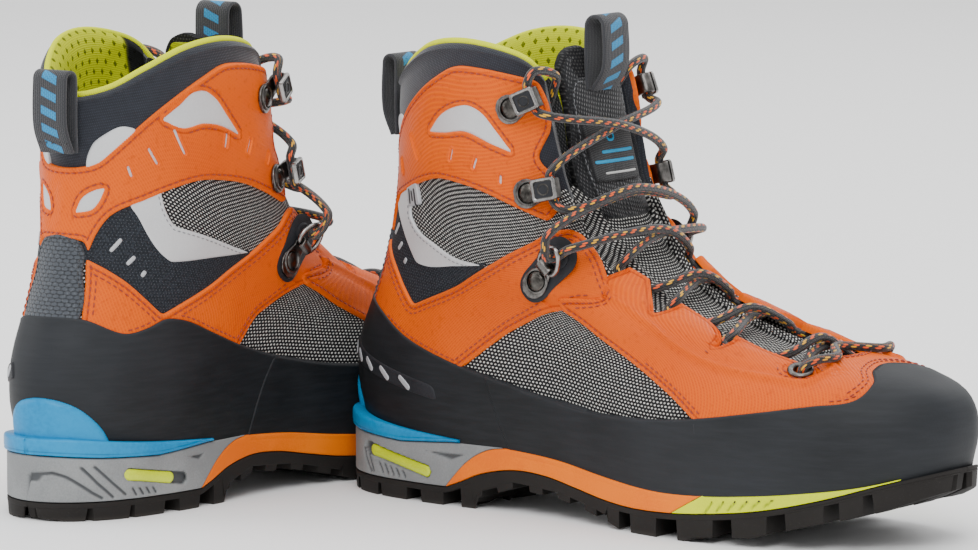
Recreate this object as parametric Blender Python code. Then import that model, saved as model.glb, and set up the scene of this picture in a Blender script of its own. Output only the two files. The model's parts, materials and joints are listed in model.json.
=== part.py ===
"""A pair of mountaineering boots: two mirrored boots of 30 pieces each.

Sizes are in millimetres in a boot's own frame and become metres when a mesh is made.
In that frame X runs to the toe, Z up from the ground, and the outer (lateral) side of
the right boot faces -Y. The left boot is the mirror image, turned a quarter turn, and
stands behind the right boot's heel.
"""
import math

import bmesh
import bpy
import numpy as np
from mathutils import Matrix, Vector, geometry

MM = 0.001

# ---- where the two boots stand -------------------------------------------------------
PAIR_SHIFT = (50.4, 21.0, 0.0)        # moves the pair so its box is centred on the origin
LEFT_BOOT_AT = (-197.6, -20.5, 0.0)  # left boot's centre, from the right boot's centre

# ---- the last: the foot-shaped surface that every upper piece follows ----------------
# LEVEL 0 is the feather line, where upper meets sole; 1 is the front of the collar.
LEVEL = np.array([0.00, 0.08, 0.16, 0.24, 0.31, 0.38, 0.45, 0.52, 0.60, 0.69, 0.79, 0.90, 1.00, 1.15])
HEEL_X = np.array([-147, -149.5, -150, -147.5, -143.5, -140, -136.5, -134, -131.5, -129.5,
                   -128.5, -128.5, -129.5, -131])
HEEL_Z = np.array([36, 48, 60, 71, 81, 90, 99, 108, 118, 130, 142, 154, 168, 190])
FRONT_X = np.array([149, 151, 150.5, 145, 134, 116, 90, 58, 30, 9, -8, -17, -23, -28])
FRONT_Z = np.array([35, 46, 55.5, 64, 69, 72.5, 77, 85, 96, 112, 132, 155, 180, 206])
# half-width of a slice through the boot, heel to toe, at a few heights
ALONG = np.array([0, 0.06, 0.15, 0.40, 0.70, 0.88, 1.0])
WIDTH_LEVEL = np.array([0.0, 0.16, 0.38, 0.60, 0.79, 1.0, 1.15])
LATERAL = np.array([[54, 52, 47, 37, 57, 64, 64],
                    [56, 54, 48, 39, 57, 63, 62],
                    [50, 49, 46, 41, 47, 50, 46],
                    [42, 42, 42, 42, 44, 44, 42],
                    [37, 37, 38, 41, 45, 45, 42],
                    [36, 36, 37, 40, 45, 46, 43],
                    [37, 37, 38, 41, 45, 46, 43]], float)
MEDIAL = np.array([[54, 51, 46, 35, 51, 55, 52],
                   [56, 53, 47, 36, 52, 54, 52],
                   [50, 49, 46, 39, 45, 47, 44],
                   [42, 42, 42, 41, 43, 43, 42],
                   [37, 37, 38, 41, 45, 45, 42],
                   [36, 36, 37, 40, 45, 46, 43],
                   [37, 37, 38, 41, 45, 46, 43]], float)
NOSE = np.array([0.82, 0.82, 0.85, 0.75, 0.6, 0.55, 0.55])   # below 1: a blunter front
FEATHER_X = np.array([-147, -120, -79, -49, -23, 4, 35, 60, 80, 108, 130, 152])
FEATHER_Z = np.array([36, 33, 30, 28, 26, 22.5, 20, 20.5, 22, 25, 28.5, 35])
TOE_SWING = 5.0                      # the toe bends this far to the medial side

# ---- layers, measured outward from the upper's outer face ----------------------------
UPPER_INSET = 2.4                    # the upper's outer face lies this far inside the last
UPPER_SKIN = (-1.5, 0.0)
OVERLAY = (1.3, 2.5)                 # orange panels stitched on the upper
RAND_SKIN = (1.1, 3.2)
COLLAR_FOAM = (-6.9, 0.0)
LINING_LOW = (-4.1, -2.8)
LINING_HIGH = (-8.6, -7.3)
TONGUE_SKIN = (-9.0, -5.2)
BLOB_SKIN = (3.6, 5.6)
GAP = 0.4

# ---- the sole ------------------------------------------------------------------------
SOLE_X = [-152, -149.5, -145, -138, -128, -115, -100, -84, -66, -49, -23, 4, 22, 44, 62, 80,
          95, 108, 120, 130, 138, 144, 149, 152]
LUG_DEPTH = 4.5
LUG_ROWS = 17
LUG_LENGTH = 12.5
WIRE_R = 1.0
LACE_R = 1.85

COLOURS = {
    "orange": ((0.78, 0.10, 0.015), 0.55, 0.0), "black": ((0.012, 0.013, 0.016), 0.6, 0.0),
    "slate": ((0.03, 0.034, 0.042), 0.7, 0.0), "mesh": ((0.16, 0.16, 0.16), 0.9, 0.0),
    "grey": ((0.22, 0.23, 0.23), 0.6, 0.0), "blue": ((0.012, 0.28, 0.52), 0.45, 0.0),
    "lime": ((0.52, 0.68, 0.0), 0.6, 0.0), "sun": ((0.88, 0.22, 0.01), 0.6, 0.0),
    "board": ((0.35, 0.28, 0.18), 0.9, 0.0), "metal": ((0.35, 0.35, 0.36), 0.32, 1.0),
}


# ======================================================================================
# The last and its layers
# ======================================================================================
def smooth(x, xs, ys):
    """A smooth curve through the stations (xs, ys); ys may have more axes."""
    step = np.diff(ys, axis=0) / np.diff(xs).reshape(-1, *([1] * (ys.ndim - 1)))
    slope = np.zeros(ys.shape)
    slope[1:-1] = (step[1:] + step[:-1]) / 2
    slope[0], slope[-1] = step[0], step[-1]
    i = np.clip(np.searchsorted(xs, x, side="right") - 1, 0, len(xs) - 2)
    h = xs[i + 1] - xs[i]
    s = (x - xs[i]) / h
    if ys.ndim > 1:
        s, h = s[..., None], h[..., None]
    return ((2 * s**3 - 3 * s**2 + 1) * ys[i] + (s**3 - 2 * s**2 + s) * h * slope[i]
            + (-2 * s**3 + 3 * s**2) * ys[i + 1] + (s**3 - s**2) * h * slope[i + 1])


def feather(x):
    """Height of the feather line above the ground."""
    return smooth(np.clip(np.asarray(x, float), FEATHER_X[0], FEATHER_X[-1]), FEATHER_X, FEATHER_Z)


def toe_swing(x):
    return TOE_SWING * np.clip(np.asarray(x, float) / 150, 0, 1) ** 2


def width_at(table, v, t):
    """Half-width of the last at level v and place t, both arrays of one shape."""
    rows = smooth(v, WIDTH_LEVEL, table)
    flat_rows, flat_t = rows.reshape(-1, len(ALONG)), np.ravel(t)
    out = [smooth(np.array([b]), ALONG, a)[0] for a, b in zip(flat_rows, flat_t)]
    return np.array(out).reshape(np.shape(t))


def last(w, v):
    """Point of the last. w: 0 heel, -1 or 1 toe, -1..0 lateral, 0..1 medial; wraps round."""
    w, v = np.broadcast_arrays(np.asarray(w, float), np.asarray(v, float))
    u = (w + 1) % 2 - 1
    angle = math.pi * np.abs(u)
    t, side = (1 - np.cos(angle)) / 2, np.clip(np.sin(angle), 0, None)
    heel_x, front_x = smooth(v, LEVEL, HEEL_X), smooth(v, LEVEL, FRONT_X)
    heel_z, front_z = smooth(v, LEVEL, HEEL_Z), smooth(v, LEVEL, FRONT_Z)
    x = heel_x + (front_x - heel_x) * t
    chord = FEATHER_Z[0] + (FEATHER_Z[-1] - FEATHER_Z[0]) * t
    dip = np.clip(1 - v / 0.5, 0, 1) ** 1.5
    z = heel_z + (front_z - heel_z) * t + dip * (feather(x) - chord)
    width = np.where(u < 0, width_at(LATERAL, v, t), width_at(MEDIAL, v, t))
    blunt = 1 + (smooth(v, WIDTH_LEVEL, NOSE) - 1) * np.clip(1.4 * t - 0.4, 0, 1)
    y = np.where(u < 0, -1, 1) * width * side**blunt + toe_swing(x)
    return np.stack([x, y, z], -1)


def outward(w, v):
    """Unit normal of the last, pointing out of the boot."""
    w, v = np.asarray(w, float), np.asarray(v, float)
    d = 0.004
    along = last(w + d, v) - last(w - d, v)
    up = last(w, v + d) - last(w, v - d)
    n = np.cross(up, along)
    return n / np.linalg.norm(n, axis=-1, keepdims=True)


def over(w, v, offset):
    return last(w, v) + outward(w, v) * (np.asarray(offset, float)[..., None] - UPPER_INSET)


# ======================================================================================
# Making objects
# ======================================================================================
class Boot:
    """Places a piece modelled as the right boot's, for the right or the left boot."""

    def __init__(self, name):
        self.name = name
        shift = Matrix.Translation(Vector(PAIR_SHIFT))
        if name == "left":
            turn = Matrix.Rotation(math.pi / 2, 4, "Z")
            shift = shift @ Matrix.Translation(Vector(LEFT_BOOT_AT)) @ turn @ Matrix.Scale(-1, 4, (0, 1, 0))
        self.matrix = Matrix.Scale(MM, 4) @ shift

    def place(self, point):
        return self.matrix @ Vector(point)


def material(name, look):
    colour, roughness, metallic = COLOURS[look]
    mat = bpy.data.materials.new(name)
    mat.use_nodes = True
    shader = mat.node_tree.nodes["Principled BSDF"]
    shader.inputs["Base Color"].default_value = (*colour, 1)
    shader.inputs["Roughness"].default_value = roughness
    shader.inputs["Metallic"].default_value = metallic
    return mat


def add_object(boot, name, data, look, pivot):
    obj = bpy.data.objects.new(f"{boot.name}_{name}", data)
    obj.location = boot.place(pivot) if pivot else (0, 0, 0)
    bpy.context.scene.collection.objects.link(obj)
    data.materials.append(material(obj.name, look))
    return obj


def solid(boot, name, points, faces, look, pivot=None):
    """A closed mesh from points in boot millimetres; pivot is where its joint turns."""
    bm = bmesh.new()
    origin = boot.place(pivot) if pivot else Vector()
    verts = [bm.verts.new(boot.place(p) - origin) for p in points]
    for face in faces:
        bm.faces.new([verts[i] for i in face])
    bmesh.ops.recalc_face_normals(bm, faces=bm.faces)
    mesh = bpy.data.meshes.new(name)
    bm.to_mesh(mesh)
    bm.free()
    mesh.shade_smooth()
    mesh.set_sharp_from_angle(angle=math.radians(40))
    return add_object(boot, name, mesh, look, pivot)


def join_solids(target, tool):
    """Unions a hidden helper solid into the target."""
    tool.hide_render = True
    tool.display_type = "WIRE"
    mod = target.modifiers.new("join", "BOOLEAN")
    mod.operation = "UNION"
    mod.object = tool


def tube(boot, name, points, radius, look, closed=False, pivot=None):
    """A round wire or cord along points."""
    curve = bpy.data.curves.new(name, "CURVE")
    curve.dimensions = "3D"
    curve.bevel_depth = radius * MM
    curve.bevel_resolution = 1
    curve.use_fill_caps = not closed
    origin = boot.place(pivot) if pivot else Vector()
    line = curve.splines.new("POLY")
    line.points.add(len(points) - 1)
    for node, p in zip(line.points, points):
        node.co = (*(boot.place(p) - origin), 1)
    line.use_cyclic_u = closed
    return add_object(boot, name, curve, look, pivot)


# ---- flat outlines -------------------------------------------------------------------
def split_edges(outline, longest, scale):
    """The outline with its long edges cut into equal parts; scale turns it into mm."""
    out = []
    for a, b in zip(outline, outline[1:] + outline[:1]):
        length = math.hypot((b[0] - a[0]) * scale[0], (b[1] - a[1]) * scale[1])
        parts = max(1, math.ceil(length / longest))
        out += [(a[0] + (b[0] - a[0]) * k / parts, a[1] + (b[1] - a[1]) * k / parts) for k in range(parts)]
    return out


def inside(point, outline):
    x, y = point
    hit = False
    for (x0, y0), (x1, y1) in zip(outline, outline[1:] + outline[:1]):
        if (y0 > y) != (y1 > y) and x < (x1 - x0) * (y - y0) / (y1 - y0) + x0:
            hit = not hit
    return hit


def edge_distance(point, outline):
    p = Vector(point)
    best = 1e9
    for a, b in zip(outline, outline[1:] + outline[:1]):
        near, part = geometry.intersect_point_line(p, Vector(a), Vector(b))
        near = Vector(a) if part < 0 else Vector(b) if part > 1 else near.to_2d()
        best = min(best, (near - p).length)
    return best


def triangles_of(outline, holes, extra):
    """Triangulates an outline with holes; extra are points inside it."""
    points, edges = [], []
    for loop in [outline] + holes:
        first = len(points)
        points += loop
        edges += [(first + k, first + (k + 1) % len(loop)) for k in range(len(loop))]
    points += extra
    verts, _, faces, _, _, _ = geometry.delaunay_2d_cdt([Vector(p) for p in points], edges, [], 0, 1e-6)
    kept = []
    for face in faces:
        centre = sum((verts[i] for i in face), Vector((0, 0))) / len(face)
        if inside(centre, outline) and not any(inside(centre, h) for h in holes):
            kept.append(tuple(face))
    return [tuple(v) for v in verts], kept


def thicken(front, back, faces):
    """Closes two copies of a patch, front and back, with walls along its edges."""
    count = len(front)
    seen = {}
    for face in faces:
        for a, b in zip(face, face[1:] + face[:1]):
            seen[(a, b)] = True
    walls = [(b, a, a + count, b + count) for a, b in seen if (b, a) not in seen]
    back_faces = [tuple(i + count for i in reversed(f)) for f in faces]
    used = sorted({i for f in faces for i in f})
    keep = {old: new for new, old in enumerate(used + [i + count for i in used])}
    points = [front[i] for i in used] + [back[i] for i in used]
    return points, [tuple(keep[i] for i in f) for f in list(faces) + back_faces + walls]


# ---- pieces that follow the last -----------------------------------------------------
SHEET_SCALE = (320.0, 190.0)   # rough millimetres for one unit of w and of v
SHEET_W = np.linspace(-2, 2, 65)
SHEET_V = [0.0, 0.1, 0.2, 0.29, 0.37, 0.45, 0.53, 0.61, 0.69, 0.79, 0.90, 1.02]
SHEET_EDGE = 18.0
SHEET_CLEAR = 4.5


def sheet_points(outline, holes, skin):
    """Points and faces of a panel. skin is (inner, outer) or a function of level v."""
    sx, sy = SHEET_SCALE
    rim = [(w * sx, v * sy) for w, v in split_edges(outline, SHEET_EDGE, SHEET_SCALE)]
    cuts = [[(w * sx, v * sy) for w, v in h] for h in holes]
    grid = []
    for w in SHEET_W:
        for v in SHEET_V:
            p = (w * sx, v * sy)
            if inside(p, rim) and min(edge_distance(p, loop) for loop in [rim] + cuts) > SHEET_CLEAR:
                if not any(inside(p, h) for h in cuts):
                    grid.append(p)
    flat, faces = triangles_of(rim, cuts, grid)
    flat = np.array(flat) / np.array(SHEET_SCALE)
    if flat[:, 0].min() < -0.9999 and flat[:, 0].max() > 0.9999 and np.ptp(flat[:, 0]) > 1.9999:
        faces = close_ring(flat, faces)
    w, v = flat[:, 0], flat[:, 1]
    inner, outer = skin(v) if callable(skin) else (np.full(v.shape, s) for s in skin)
    return thicken(list(over(w, v, outer)), list(over(w, v, inner)), faces)


def close_ring(flat, faces):
    """Joins the two toe edges of a panel that runs all the way round."""
    left = {round(v, 5): i for i, (w, v) in enumerate(flat) if w < -0.9999}
    swap = {i: left[round(v, 5)] for i, (w, v) in enumerate(flat) if w > 0.9999}
    return [tuple(swap.get(i, i) for i in face) for face in faces]


def sheet(boot, name, outline, skin, look, holes=(), pivot=None):
    points, faces = sheet_points(outline, list(holes), skin)
    return solid(boot, name, points, faces, look, pivot)


def disc_hole(w, v, radius, count=8):
    """A round hole on the last, as an outline in w and v."""
    d = 0.01
    per_w = np.linalg.norm(last(w + d, v) - last(w - d, v)) / (2 * d)
    per_v = np.linalg.norm(last(w, v + d) - last(w, v - d)) / (2 * d)
    return [(w + radius * math.cos(a) / per_w, v + radius * math.sin(a) / per_v)
            for a in (2 * math.pi * k / count for k in range(count))]


def mirror_w(outline):
    return [(-w, v) for w, v in reversed(outline)]


# ---- pieces of the sole --------------------------------------------------------------
def sole_margin(x):
    """How far the sole stands out past the last's feather line."""
    return 1.5 + 3.5 * np.clip((-105 - x) / 40, 0, 1) + 1.5 * np.clip((x - 110) / 40, 0, 1)


def sole_edge(x, side, margin=0.0, flare=True):
    """Y of the sole's edge at x; side is -1 lateral or 1 medial."""
    x = np.asarray(x, float)
    spread = sole_margin(x) * flare + margin
    low, high = HEEL_X[0] - 5 * flare - margin, FRONT_X[0] + 3 * flare + margin
    t = np.clip((x - low) / (high - low), 0.0006, 0.9994)
    table = LATERAL if side < 0 else MEDIAL
    half = width_at(table, np.zeros(np.shape(t)), t) + spread
    blunt = 1 + (NOSE[0] - 1) * np.clip(1.4 * t - 0.4, 0, 1)
    return side * np.maximum(half * (2 * np.sqrt(t * (1 - t))) ** blunt, 2.5) + toe_swing(x)


def sole_prism(boot, name, profile, look, margin=0.0, holes=(), flare=True):
    """A slice of the sole: its side view, stretched between the sole's two edges."""
    fine = []
    for a, b in zip(profile, profile[1:] + profile[:1]):
        stops = sorted({s for s in SOLE_X if min(a[0], b[0]) + 1.5 < s < max(a[0], b[0]) - 1.5})
        fine.append(a)
        for s in stops if b[0] > a[0] else stops[::-1]:
            fine.append((s, a[1] + (b[1] - a[1]) * (s - a[0]) / (b[0] - a[0])))
    flat, faces = triangles_of(fine, [list(h) for h in holes], [])
    x, z = np.array(flat)[:, 0], np.array(flat)[:, 1]
    front = np.stack([x, sole_edge(x, -1, margin, flare), z], -1)
    back = np.stack([x, sole_edge(x, 1, margin, flare), z], -1)
    points, faces = thicken(list(front), list(back), faces)
    return solid(boot, name, points, faces, look)


def band(xs, low, high):
    """Side view of a layer that follows the feather line, from xs with two heights above it."""
    up = [(x, float(feather(x)) + high) for x in xs]
    down = [(x, float(feather(x)) + low) for x in reversed(xs)]
    return up + down


# ======================================================================================
# Sole
# ======================================================================================
SOLE_TOP_DROP = 1.0                   # the sole's top face lies this far below the feather line
OUTSOLE_TOP = [(-152, 8), (-82, 8), (-64, 14.7), (-47, 18.4), (-19, 15.8), (5, 11.4), (22, 10.2),
               (44, 11), (70, 13), (91, 16), (116, 22), (137, 28.7), (152, 33)]
LUG_TIP = [(-152, 1.2), (-145, 0), (-66, 0), (-64, 5), (-47, 10.5), (-19, 8.5), (3, 4), (18, 0),
           (52, 0), (57, 2), (86, 4.4), (106, 10), (122, 13.5), (130, 15.8), (152, 24)]
ARCH = (-68, 8)                       # between these the outsole is thin, with shallow lugs
WEDGE_FRONT = [(-82, 8), (-71, 20), (-60, 26), (-51, 27)]
WEDGE_TOP = [(-79, 27.2), (-108, 25.0), (-136, 26.2), (-151.8, 27.5)]
WINDOW = [(-128, 19), (-95, 12.4), (-91, 15.3), (-121, 21.6)]
INSERT_BACK = [(44, 11), (53, 19.8)]
INSERT_FRONT_X = 139.0


def follow(table, x):
    xs, zs = zip(*table)
    return float(np.interp(x, xs, zs))


def in_quad(quad, a, b):
    """Point of a four-sided outline: a runs along it, b across it, both from 0 to 1."""
    low = [quad[0][k] + (quad[1][k] - quad[0][k]) * a for k in (0, 1)]
    high = [quad[3][k] + (quad[2][k] - quad[3][k]) * a for k in (0, 1)]
    return tuple(low[k] + (high[k] - low[k]) * b for k in (0, 1))


def outsole(boot):
    """Rubber outsole: a thin plate with three rows of lugs cast on its underside."""
    pitch = (SOLE_X[-1] - SOLE_X[0] - LUG_LENGTH) / (LUG_ROWS - 1)
    xs = sorted(SOLE_X[0] + k * pitch + end for k in range(LUG_ROWS) for end in (0, LUG_LENGTH))
    kinds = [k % 2 == 0 for k in range(len(xs) - 1)]
    rows = [0.0, 0.27, 0.37, 0.63, 0.73, 1.0]
    points, faces = [], []

    def add(x, part, z):
        low, high = float(sole_edge(x, -1)), float(sole_edge(x, 1))
        points.append((x, low + (high - low) * part, z))
        return len(points) - 1

    def root(x):
        depth = 2.6 if ARCH[0] < x < ARCH[1] else LUG_DEPTH
        return min(follow(LUG_TIP, x) + depth, follow(OUTSOLE_TOP, x) - 2.2)

    bottom = [[add(x, r, root(x)) for r in rows] for x in xs]
    top = [[add(x, r, follow(OUTSOLE_TOP, x) - GAP * 2) for r in (0.0, 1.0)] for x in xs]
    for i, lug_row in enumerate(kinds):
        faces.append((top[i][0], top[i][1], top[i + 1][1], top[i + 1][0]))
        faces.append((bottom[i][0], top[i][0], top[i + 1][0], bottom[i + 1][0]))
        faces.append((bottom[i][-1], top[i][-1], top[i + 1][-1], bottom[i + 1][-1]))
        for j in range(len(rows) - 1):
            cell = (bottom[i][j], bottom[i][j + 1], bottom[i + 1][j + 1], bottom[i + 1][j])
            if not lug_row or j % 2:
                faces.append(cell)
                continue
            tips = [add(xs[i + a], rows[j + b], follow(LUG_TIP, xs[i + a])) for a, b in
                    ((0, 0), (0, 1), (1, 1), (1, 0))]
            faces.append(tuple(tips))
            for k in range(4):
                faces.append((cell[k], cell[(k + 1) % 4], tips[(k + 1) % 4], tips[k]))
    for end in (0, -1):
        faces.append((*bottom[end], top[end][1], top[end][0]))
    return solid(boot, "outsole", points, faces, "black")


def heel_wedge(boot):
    profile = [(-151.6, 8.2), (-82.3, 8.2)] + [(x - 0.3, z) for x, z in WEDGE_FRONT[1:]] + WEDGE_TOP
    sole_prism(boot, "heel_wedge", profile, "grey", 0.0, [WINDOW])
    small = [in_quad(WINDOW, a, b) for a, b in ((0.03, 0.12), (0.97, 0.12), (0.97, 0.88), (0.03, 0.88))]
    sole_prism(boot, "heel_window", small, "lime", -1.5)


def heel_welt(boot):
    """Crampon welt under the heel, with a rounded tab that rises up the back of the rand."""
    xs = [-84, -100, -115, -128, -138, -145, -150]
    top = [(x, float(feather(x)) - SOLE_TOP_DROP) for x in [-73] + xs]
    bottom = [(x, z + GAP) for x, z in reversed([(-73, 27.3)] + WEDGE_TOP)]
    plate = sole_prism(boot, "heel_welt", bottom + top, "blue", 1.5)
    tab = [(-0.13, -0.04), (0.13, -0.04), (0.125, 0.02), (0.09, 0.075), (0.04, 0.1), (-0.04, 0.1),
           (-0.09, 0.075), (-0.125, 0.02)]
    join_solids(plate, sheet(boot, "heel_welt_tab_tool", tab, BLOB_SKIN, "blue"))


def midsole(boot):
    low = [(x, z + GAP / 2) for x, z in OUTSOLE_TOP if -82 < x < 44]
    xs = [52, 35, 4, -23, -49]
    profile = [(-81.7, 8.3)] + low + [(43.7, 11.1)]
    profile += [(x, float(feather(x)) - SOLE_TOP_DROP) for x in xs]
    profile += [(x + 0.5, z) for x, z in reversed(WEDGE_FRONT[1:-1])]
    sole_prism(boot, "midsole", profile, "sun")


def forefoot_insert(boot):
    low = [(x, z + GAP / 2) for x, z in OUTSOLE_TOP if 44 < x < INSERT_FRONT_X]
    profile = [(44.3, 11.2)] + low + [(INSERT_FRONT_X, follow(OUTSOLE_TOP, INSERT_FRONT_X) + 0.2)]
    profile += [(x, float(feather(x)) - SOLE_TOP_DROP) for x in (INSERT_FRONT_X, 130, 108, 80, 60, 53.2)]
    sole_prism(boot, "forefoot_insert", profile, "lime")


def boards(boot):
    """Stiff lasting board and, on it, the removable footbed."""
    xs = [-141, -137, -128, -115, -84, -49, -23, 4, 35, 62, 95, 120, 134, 141]
    sole_prism(boot, "insole_board", band(xs, 1.0, 3.2), "board", -5.4, flare=False)
    sole_prism(boot, "insole", band(xs[1:-1], 3.7, 7.7), "slate", -8.4, flare=False)


# ======================================================================================
# Upper
# ======================================================================================
RAND_TOP = [(0.0, 0.345), (0.10, 0.335), (0.17, 0.31), (0.25, 0.25), (0.33, 0.198), (0.386, 0.169),
            (0.433, 0.148), (0.483, 0.14), (0.536, 0.15), (0.628, 0.179), (0.70, 0.205),
            (0.762, 0.226), (0.815, 0.24), (0.865, 0.30), (0.93, 0.365), (1.0, 0.385)]
RAND_TOP_MEDIAL = [(0.0, 0.345), (0.10, 0.342), (0.196, 0.30), (0.227, 0.318), (0.255, 0.344),
                   (0.28, 0.34), (0.33, 0.295)] + [(0.375, 0.248), (0.426, 0.199)] + RAND_TOP[6:]
MESH_SIDE = [(0.43, 0.369), (0.467, 0.417), (0.503, 0.451)]
MESH_FRONT = [(0.535, 0.44), (0.538, 0.384), (0.553, 0.325), (0.574, 0.275), (0.60, 0.22)]
QUARTER_TOP = [(0.78, 0.70), (0.775, 0.725), (0.75, 0.733), (0.70, 0.722), (0.618, 0.68), (0.54, 0.632),
               (0.465, 0.573), (0.35, 0.462), (0.29, 0.40), (0.25, 0.357), (0.222, 0.41), (0.187, 0.464),
               (0.149, 0.50), (0.10, 0.535)]
LOBES = [(0.83, 0.397), (0.826, 0.448), (0.837, 0.49), (0.73, 0.437), (0.854, 0.535), (0.864, 0.578),
         (0.745, 0.534), (0.862, 0.634), (0.837, 0.660), (0.73, 0.617)]
CUFF_TOP = [(0.06, 0.834), (0.125, 0.85), (0.185, 0.90), (0.25, 0.95), (0.34, 1.005), (0.46, 1.06),
            (0.53, 1.08), (0.60, 1.07), (0.68, 1.05), (0.79, 1.022)]
CUFF_FRONT = [(0.812, 0.964), (0.80, 0.932), (0.769, 0.909), (0.743, 0.886), (0.749, 0.87),
              (0.772, 0.854), (0.783, 0.826), (0.753, 0.777), (0.70, 0.742)]
CUFF_BOTTOM = [(0.615, 0.77), (0.55, 0.79), (0.471, 0.80), (0.423, 0.80), (0.343, 0.774),
               (0.262, 0.732), (0.15, 0.66), (0.115, 0.60), (0.10, 0.55)]
RIM = [(0.0, 1.05), (0.1, 1.055), (0.2, 1.07), (0.3, 1.105), (0.42, 1.14), (0.54, 1.14), (0.68, 1.105),
       (0.77, 1.065), (0.82, 1.02)]
COLLAR_LOW = 0.805
THROAT_W = 0.77
THROAT_V = 0.42
GROMMET = (0.794, 0.362)
GROMMET_HOLE = 5.0
SEAM = 0.006                          # gap in v between panels that meet edge to edge


def upper(boot):
    """The base shell of woven fabric, cut open in front for the tongue."""
    top = COLLAR_LOW - SEAM
    outline = [(-1, 0), (1, 0), (1, THROAT_V), (THROAT_W, THROAT_V), (THROAT_W, 0.70), (0.805, 0.75),
               (0.815, top), (-0.815, top), (-0.805, 0.75), (-THROAT_W, 0.70), (-THROAT_W, THROAT_V),
               (-1, THROAT_V)]
    holes = [disc_hole(s * GROMMET[0], GROMMET[1], GROMMET_HOLE + 1.2) for s in (-1, 1)]
    sheet(boot, "upper", outline, UPPER_SKIN, "mesh", holes)


def rand(boot):
    lateral = [(-w, v) for w, v in RAND_TOP]
    outline = [(-1, 0.0), (1, 0.0)] + RAND_TOP_MEDIAL[::-1] + lateral[1:]
    sheet(boot, "rand", outline, RAND_SKIN, "slate")


def quarter_outline(rand_top, first, last_one):
    """Orange quarter panel: up the heel side, along the rand, to the instep lock."""
    base = [(w, v + SEAM) for w, v in rand_top if first <= w <= last_one]
    return base + MESH_SIDE + [(0.527, 0.475), (0.545, 0.503), (0.69, 0.580), (0.735, 0.634)] + QUARTER_TOP


def quarters(boot):
    sheet(boot, "quarter_medial", quarter_outline(RAND_TOP_MEDIAL, 0.1, 0.376), OVERLAY, "orange")
    lateral = quarter_outline(RAND_TOP, 0.1, 0.34)
    sheet(boot, "quarter_lateral", mirror_w(lateral), OVERLAY, "orange")


def vamp(boot):
    """Forefoot panel, lateral and medial halves joined in front of the throat."""
    half = [(w, v + SEAM) for w, v in RAND_TOP if w > 0.60][::-1] + MESH_FRONT[::-1]
    half += [(0.53, 0.466), (0.548, 0.494), (0.692, 0.571)] + LOBES[::-1] + [(0.90, 0.425)]
    medial = [(w, v) for w, v in half]
    lateral = [(2 - w, v) for w, v in half[1:]][::-1]
    holes = [disc_hole(GROMMET[0], GROMMET[1], GROMMET_HOLE),
             disc_hole(2 - GROMMET[0], GROMMET[1], GROMMET_HOLE)]
    sheet(boot, "vamp", medial + [(1.0, 0.43)] + lateral, OVERLAY, "orange", holes)


def cuff(boot):
    half = CUFF_BOTTOM[::-1] + CUFF_FRONT[::-1] + CUFF_TOP[::-1]
    outline = [(0.09, 0.595)] + [(w, v) for w, v in half] + [(0.0, 0.83)]
    mirrored = [(-w, v) for w, v in reversed(outline[:-1])]
    sheet(boot, "cuff", outline + mirrored, OVERLAY, "orange")


def collar(boot):
    rim = RIM[::-1]
    low = [(0.82, COLLAR_LOW + SEAM), (0.82, 0.9)]
    outline = [(-w, v) for w, v in reversed(low)] + low + rim + [(-w, v) for w, v in RIM[1:]]
    outline = outline[1:] if outline[0] == outline[-1] else outline
    sheet(boot, "collar_pad", outline, COLLAR_FOAM, "black")


def lining_skin(v):
    """The lining runs close behind the upper, then inward behind the collar's foam."""
    blend = np.clip((v - 0.66) / 0.10, 0, 1)
    blend = blend * blend * (3 - 2 * blend)
    return tuple(low + (high - low) * blend for low, high in zip(LINING_LOW, LINING_HIGH))


def lining(boot):
    half = [(0.64, 0.25), (0.64, 0.70), (0.76, 0.79), (0.785, 0.84), (0.785, 1.0)]
    half += [(w, v - 0.01) for w, v in RIM[::-1] if w < 0.78]
    outline = half + [(-w, v) for w, v in reversed(half[:-1])]
    sheet(boot, "lining", outline, lining_skin, "lime")


TONGUE_HINGE_V = 0.47


def tongue(boot):
    half = [(0.78, 0.45), (0.70, 0.50), (0.685, 0.60), (0.70, 0.72), (0.86, 0.80), (0.875, 0.90),
            (0.895, 0.96), (0.885, 1.06), (0.93, 1.09)]
    outline = half + [(2 - w, v) for w, v in reversed(half)]
    pivot = tuple(last(1.0, TONGUE_HINGE_V))
    sheet(boot, "tongue", outline, TONGUE_SKIN, "slate", pivot=pivot)


# ======================================================================================
# Webbing loops
# ======================================================================================
def ribbon(boot, name, path, thickness, width, frame, look, pivot=None):
    """A flat strip: path is in a plane, frame is (origin, along, up, across)."""
    origin, along, up, across = frame
    points, faces = [], []
    for i, p in enumerate(path):
        a, b = Vector(path[max(i - 1, 0)]), Vector(path[min(i + 1, len(path) - 1)])
        d = (b - a).normalized()
        for side, reach in ((0.5, -1), (0.5, 1), (-0.5, 1), (-0.5, -1)):
            q = Vector(p) + Vector((-d.y, d.x)) * side * thickness
            points.append(origin + along * q.x + up * q.y + across * reach * width / 2)
    for i in range(len(path) - 1):
        for k in range(4):
            n = (k + 1) % 4
            faces.append((4 * i + k, 4 * i + n, 4 * i + 4 + n, 4 * i + 4 + k))
    end = 4 * (len(path) - 1)
    faces += [(0, 1, 2, 3), (end, end + 1, end + 2, end + 3)]
    return solid(boot, name, points, faces, look, pivot)


def arc(centre, radius, start, stop, count):
    """Points of an arc, angles in degrees."""
    return [(centre[0] + radius * math.cos(math.radians(start + (stop - start) * k / count)),
             centre[1] + radius * math.sin(math.radians(start + (stop - start) * k / count)))
            for k in range(count + 1)]


HEEL_LOOP_BASE = (-130.5, 0.0, 153.0)
HEEL_LOOP_TOP = 187.0
TONGUE_LOOP_BASE = (-27.2, 0.0, 178.0)
TONGUE_LOOP_TOP = 209.0
WEBBING = (1.4, 18.0)                 # thickness and width of the loops' webbing


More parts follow.
